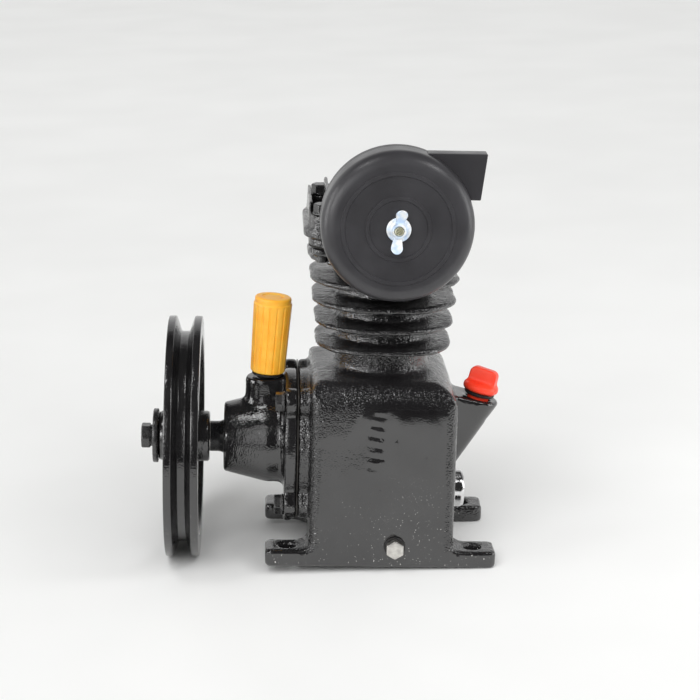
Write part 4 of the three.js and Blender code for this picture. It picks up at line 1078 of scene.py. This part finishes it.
def wing_nut_field(p):
    """Pressed wing nut about the stud: its round wings face forwards and lean out from the hub."""
    u, w = rotated(p[0] - FILTER_X, p[2] - FILTER_Z, radians(83))
    y = p[1] - FILTER_Y
    radius, side = np.hypot(u, w), np.abs(u)
    hub = polygon(radius, y, [
        (-3, -1.1), (8.7, -1.1), (8.7, -2.4), (7.7, -2.9), (5.4, -3.4), (5, -7.6), (4.5, -8.2), (-3, -8.2),
    ])
    along = np.clip((side - 4) / 7.4, 0, 1)
    flat = np.hypot(side - 4 - along * 7.4, w) - (2.5 + 1.7 * along)
    lean = np.abs(y + 3.4 + 0.66 * np.maximum(side - 4.5, 0)) * 0.83
    wing = np.hypot(np.maximum(flat + 0.8, 0), np.maximum(lean - 0.35, 0)) - 0.8
    body = fillet(hub, wing, 1.6)
    return cut(body, pushed(radius - 3.5, y, -20, 5))


wing_nut = solid("wing_nut_pressing", wing_nut_field, (-13, -110.2, 246), (20, -97, 282), 0.3, 1)
stands_for(wing_nut, "wing_nut", "bright_zinc", "wing_nut")


def stud_field(p):
    x, y, z = p[0] - FILTER_X, p[1], p[2] - FILTER_Z
    radius = np.hypot(x, z)
    thread = radius - 3.2 + 0.44 * np.abs(y % 1 - 0.5) * (y > FILTER_Y - 7)
    end = np.maximum(radius - 3.2 + (FILTER_Y - 7.6 - y) * 0.8, FILTER_Y - 8.4 - y)
    screw_slot = np.maximum(np.abs(x * 0.72 - z * 0.69) - 0.5, y - FILTER_Y + 7.2)
    return cut(common(thread, end, y - FILTER_Y - 39), screw_slot)


stud = solid("filter_stud_brass", stud_field, (-0.5, -105.2, 260), (7.5, -57, 268), 0.25, 0)
stands_for(stud, "block", "brass_stud", "filter_stud")


# ---- breather ----

def tilted(obj, x, z, angle):
    """Turns and moves the mesh of a piece that was made about the Z axis onto its tilted axis."""
    obj.data.transform(Matrix.Translation((x * MM, 0, z * MM)) @ Matrix.Rotation(angle, 4, "Y"))


def cap_flutes(angle, radius, along):
    """Broad flat ribs with narrow grooves, from the cap's foot to below its crown."""
    ribs = 16
    wave = np.abs(np.sin(ribs / 2 * (angle + 0.12)))
    groove = smoothstep(-wave, -0.46, -0.12)
    fade = smoothstep(along, 3.5, 6) * smoothstep(-along, -55.8, -54) * (radius > 12)
    return radius - 0.75 * groove * fade


def build_cap():
    rise = [(13 + 1.4 * (z - 4.6) / 50.4, z) for z in np.linspace(6, 55, 16)]
    profile = [(10.6, 3.6), (12.2, 3.6), (12.9, 4.4), *rise]
    profile += [(14.4, 56.2), (14, 57), (13.7, 57.3), (13.7, 59.4)]
    profile += arc((11.9, 59.8), 1.8, 0, 90, 5) + [(8.4, 61.6), (8.1, 61.1), (0, 61.1)]
    inside = [(0, 55.6), (9.4, 55.6), (10.6, 54.4)]
    cap = lathe("breather_cap_moulding", "z", (0, 0), profile + inside + [(10.6, 3.6)], 256, shape=cap_flutes)
    for side in (-1, 1):
        hole = lathe("hole", "z", (side * 6.6, 0), [(0, 59.4), (0.85, 59.4), (0.85, 63), (0, 63)], 20)
        cap = combined(cap, hole, "DIFFERENCE")
    tilted(cap, CAP_X, BREATHER_Z + 0.2, BREATHER_TILT)
    stands_for(cap, "breather_cap", "orange_plastic", "breather_cap")


build_cap()
collar_profile = [
    (4.2, -9), (5.6, -9), (5.6, 1), (10.9, 1), (11.6, 1.4), (11.6, 2.6), (11, 3.2), (5.6, 3.2), (5.6, 14),
    (4.2, 14),
]
collar = eased_ring("breather_collar", "z", (0, 0), collar_profile, 0.5, 96)
tilted(collar, CAP_X, BREATHER_Z + 0.2, BREATHER_TILT)
stands_for(collar, "block", "black_rubber", "breather_neck")


# ---- oil filler plug ----

GRIP_TURN = radians(24)  # the grip came to rest with its right end nearer than its left


def plug_field(p):
    x, y, z = p
    radius = np.hypot(x, y)
    across, along = rotated(y, x, GRIP_TURN)
    grip = rounded_rect(along, z, (-10.7, 4), (10.7, 22.3), (1, 1, 4.6, 4.6))
    grip = np.maximum(grip, np.abs(across) - 4.7 + 0.06 * (z - 9))
    flange = polygon(radius, z, [
        (-3, 4.6), (11.8, 4.6), (13.5, 6.2), (13.5, 8.4), (12.6, 10.2), (9, 11.2), (-3, 11.2),
    ])
    body = fillet(flange, grip, 2.5)
    thread = radius - 8.2 - 0.35 * np.sin(2 * pi * z / 2)
    body = union(body, common(thread, z - 6, -14 - z))
    return cut(body, pushed(radius - 6, z, -16, 3))


plug = solid("oil_plug_moulding", plug_field, (-14, -14, -14.2), (14, 14, 22.4), 0.5, 3)
tilted(plug, PLUG_X, PLUG_Z, PLUG_TILT)
stands_for(plug, "oil_plug", "red_plastic", "oil_filler_plug")
o_ring = lathe("filler_seal", "z", (0, 0), arc((10.2, 2.9), 1.35, 0, 345, 15), 80, closed=True)
tilted(o_ring, PLUG_X, PLUG_Z, PLUG_TILT)
stands_for(o_ring, "oil_plug", "black_rubber", "filler_o_ring")


# ---- sight glass and drain ----

bezel_profile = [
    (7.5, 47), (9.1, 47), (9.1, 54.3), (15.8, 54.3), (15.8, 57.5), (14.5, 58.2), (14.5, 63.2),
    (13.2, 65.6), (12, 65.9), (10.8, 65.4), (10.8, 60.2), (7.5, 60.2),
]
bezel = eased_ring("sight_glass_ring", "x", (0, GLASS_Z), bezel_profile, 0.7, 128)
stands_for(bezel, "block", "chrome_bezel", "sight_glass_bezel")
lens_profile = [(0, 60.4), (10.4, 60.4), (10.4, 62.6), (8, 63.2), (4, 63.5), (0, 63.6)]
lens = lathe("sight_glass_window", "x", (0, GLASS_Z), lens_profile, 96)
stands_for(lens, "block", "clear_glass", "sight_glass_lens")


def drain_field(p):
    u, v, y = p[0] - DRAIN_X, p[2] - DRAIN_Z, p[1]
    radius = np.hypot(u, v)
    hexed = hex_head(u, v, -y, 12.5, 6.5, 65.2, 71.5)
    return union(hexed, pushed(radius - 4.2, y, -66, -56.5))


drain = solid("drain_plug_hex", drain_field, (2, -71.6, 8), (18, -56.5, 25), 0.4, 1)
stands_for(drain, "drain_plug", "bright_zinc", "drain_plug")
drain.data.materials[0] = FINISHES["dull_zinc"]  # its plate has lost the blue
seal_profile = [(4.6, -65), (7.9, -65), (7.9, -63.7), (4.6, -63.7)]
drain_seal = eased_ring("drain_seal", "y", (DRAIN_X, DRAIN_Z), seal_profile, 0.5, 64)
stands_for(drain_seal, "drain_plug", "black_rubber", "drain_plug_gasket")


# ---- gaskets and valve plate ----

def paint_rim(obj, centre, reach):
    """The pump was painted after it was put together, so a sheet's outer rim is enamel."""
    obj.data.materials.append(FINISHES["black_enamel"])
    for face in obj.data.polygons:
        x, y = abs(face.center.x / MM - centre[0]), abs(face.center.y / MM - centre[1])
        corner = hypot(max(x - reach[0] + 18, 0), max(y - reach[1] + 18, 0)) > 17
        if abs(face.normal.z) < 0.9 and (x > reach[0] or y > reach[1] or corner):
            face.material_index = 1


head_holes = [circle(HEAD_X + a * HEAD_BOLT[0], b * HEAD_BOLT[1], CLEAR_HOLE_R) for a, b in corners]
head_outline = rounded_outline((HEAD_X - 55, -46), (HEAD_X + 55, 46), 18)
chamber_holes = [
    rounded_outline((HEAD_X - 31, near), (HEAD_X + 31, near + 35), 6) for near in (-38, 3)
]
port_holes = [circle(8 * a, 16 * b, 4) for a, b in corners]
bore_hole = circle(0, 0, BORE_R + 1, 64)
cylinder_gasket = plate("cylinder_gasket_sheet", head_outline, "z", 237.2, 238, head_holes + [bore_hole])
stands_for(cylinder_gasket, "block", "gasket_fibre", "cylinder_gasket")
valve_plate = plate("valve_plate_ground", head_outline, "z", 238.2, 243, head_holes + port_holes, bevel=0.3)
stands_for(valve_plate, "block", "machined_steel", "valve_plate")
paint_rim(valve_plate, (HEAD_X, 0), (53, 44))
head_gasket = plate("head_gasket_sheet", head_outline, "z", 243.2, 244, head_holes + chamber_holes)
stands_for(head_gasket, "block", "gasket_fibre", "head_gasket")


# ---- CAD nodes that stay, floor and light ----

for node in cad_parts.values():
    for holder in node.material_slots:
        holder.material = FINISHES[holder.material.name.split(".")[0]]


def floor_height(x):
    """The unit stands on its wheel rim and its right feet, so the floor leans in the row frame."""
    wheel_x, foot_x = -147.5, 86
    return -10 + (x - wheel_x) * 10 / (foot_x - wheel_x)


def sloped_sheet(name, low, high, lift, finish):
    """Sheet from low to high along X and Y, lying lift millimetres above the leaning floor's line."""
    ends = [(low[0], low[1]), (high[0], low[1]), (high[0], high[1]), (low[0], high[1])]
    points = [(x, y, floor_height(x) + lift) for x, y in ends]
    sheet = mesh_object(name, points, [np.array([[0, 1, 2, 3]])], smooth=False)
    sheet.data.materials.append(FINISHES[finish])
    return sheet


sloped_sheet("floor", (-6000, -6000), (6000, 12000), -0.05, "floor_paper")
# A black studio flag on the floor in front, which only reflections see.
flag = sloped_sheet("front_flag", (-3000, -5000), (3000, -480), 0.95, "flag_cloth")
flag.visible_camera = flag.visible_diffuse = flag.visible_shadow = flag.visible_transmission = False


def make_world(pale, strength, dim, sweep):
    """Pale surround. Glossy surfaces see a bright sweep low down behind, and a dim studio elsewhere."""
    world = bpy.data.worlds.new("studio")
    world.use_nodes = True
    tree = world.node_tree

    def add(kind, inputs, output=0):
        return add_node(tree, kind, output, inputs)

    direction = add("SeparateXYZ", {0: add("TexCoord", {}, "Generated")}, "Z").node
    behind = add("MapRange", {"Value": direction.outputs["Y"], "From Min": -0.1, "From Max": 0.45})
    low = add("MapRange", {"Value": direction.outputs["Z"], "From Min": 0.75, "From Max": 0.4})
    seen = add("Mix", {0: behind, 2: 0.0, 3: low})
    glossy = add("MapRange", {"Value": seen, "To Min": dim, "To Max": sweep})
    shine = add("Background", {"Color": (1, 1, 1, 1), "Strength": glossy})
    surround = add("Background", {"Color": (*pale, 1), "Strength": strength})
    glossy_ray = add("LightPath", {}, "Is Glossy Ray")
    mixed = add("MixShader", {0: glossy_ray, 1: surround, 2: shine})
    tree.links.new(mixed, tree.nodes["World Output"].inputs["Surface"])
    scene.world = world


def lamp(kind, name, place, aim, **settings):
    """Lamp at a place, turned to shine at another; settings are those of its light."""
    light = bpy.data.lights.new(name, kind)
    for key, value in settings.items():
        setattr(light, key, value)
    obj = bpy.data.objects.new(name, light)
    scene.collection.objects.link(obj)
    obj.location = place
    obj.rotation_euler = (Vector(aim) - Vector(place)).to_track_quat("-Z", "Y").to_euler()
    return obj


def softbox(name, place, size, radiance, aim=(0, 0, 0.15), shine_only=False):
    """Rectangle of light; one that is for shine only shows in reflections and lights nothing else."""
    width, height = size
    energy = radiance * pi * width * height
    box_lamp = lamp(
        "AREA", name, place, aim, shape="RECTANGLE", size=width, size_y=height, energy=energy,
    )
    box_lamp.visible_diffuse = not shine_only


def distant(name, direction, strength, spread):
    """Far, wide light: even over the whole floor, with soft shadows. spread is in degrees."""
    sun = lamp("SUN", name, direction, (0, 0, 0), energy=strength, angle=radians(spread))
    sun.visible_glossy = False


make_world((0.995, 1.0, 0.99), 0.43, 0.03, 0.85)
distant("key", (-0.4, -1.0, 0.85), 1.6, 40)
distant("fill", (0.5, -1.0, 0.7), 0.9, 40)
softbox("left_softbox", (-1.1, -0.15, 0.38), (0.45, 0.7), 4.2, shine_only=True)
softbox("right_softbox", (1.15, -0.15, 0.42), (0.4, 0.7), 3.4)
softbox("front_left", (-0.95, -0.8, 0.45), (0.36, 0.38), 6.0, shine_only=True)
softbox("front_right", (0.8, -0.62, 1.25), (0.5, 0.3), 6.0)
softbox("front_panel", (-0.62, -0.95, 0.42), (0.6, 0.9), 1.1, shine_only=True)
softbox("top_left", (-0.6, -0.35, 1.3), (0.35, 0.35), 5.0)
softbox("sweep_light", (-0.5, 1.9, 1.7), (2.2, 1.0), 0.3, aim=(-0.5, 2.4, 0))
scene.view_settings.view_transform = "Standard"
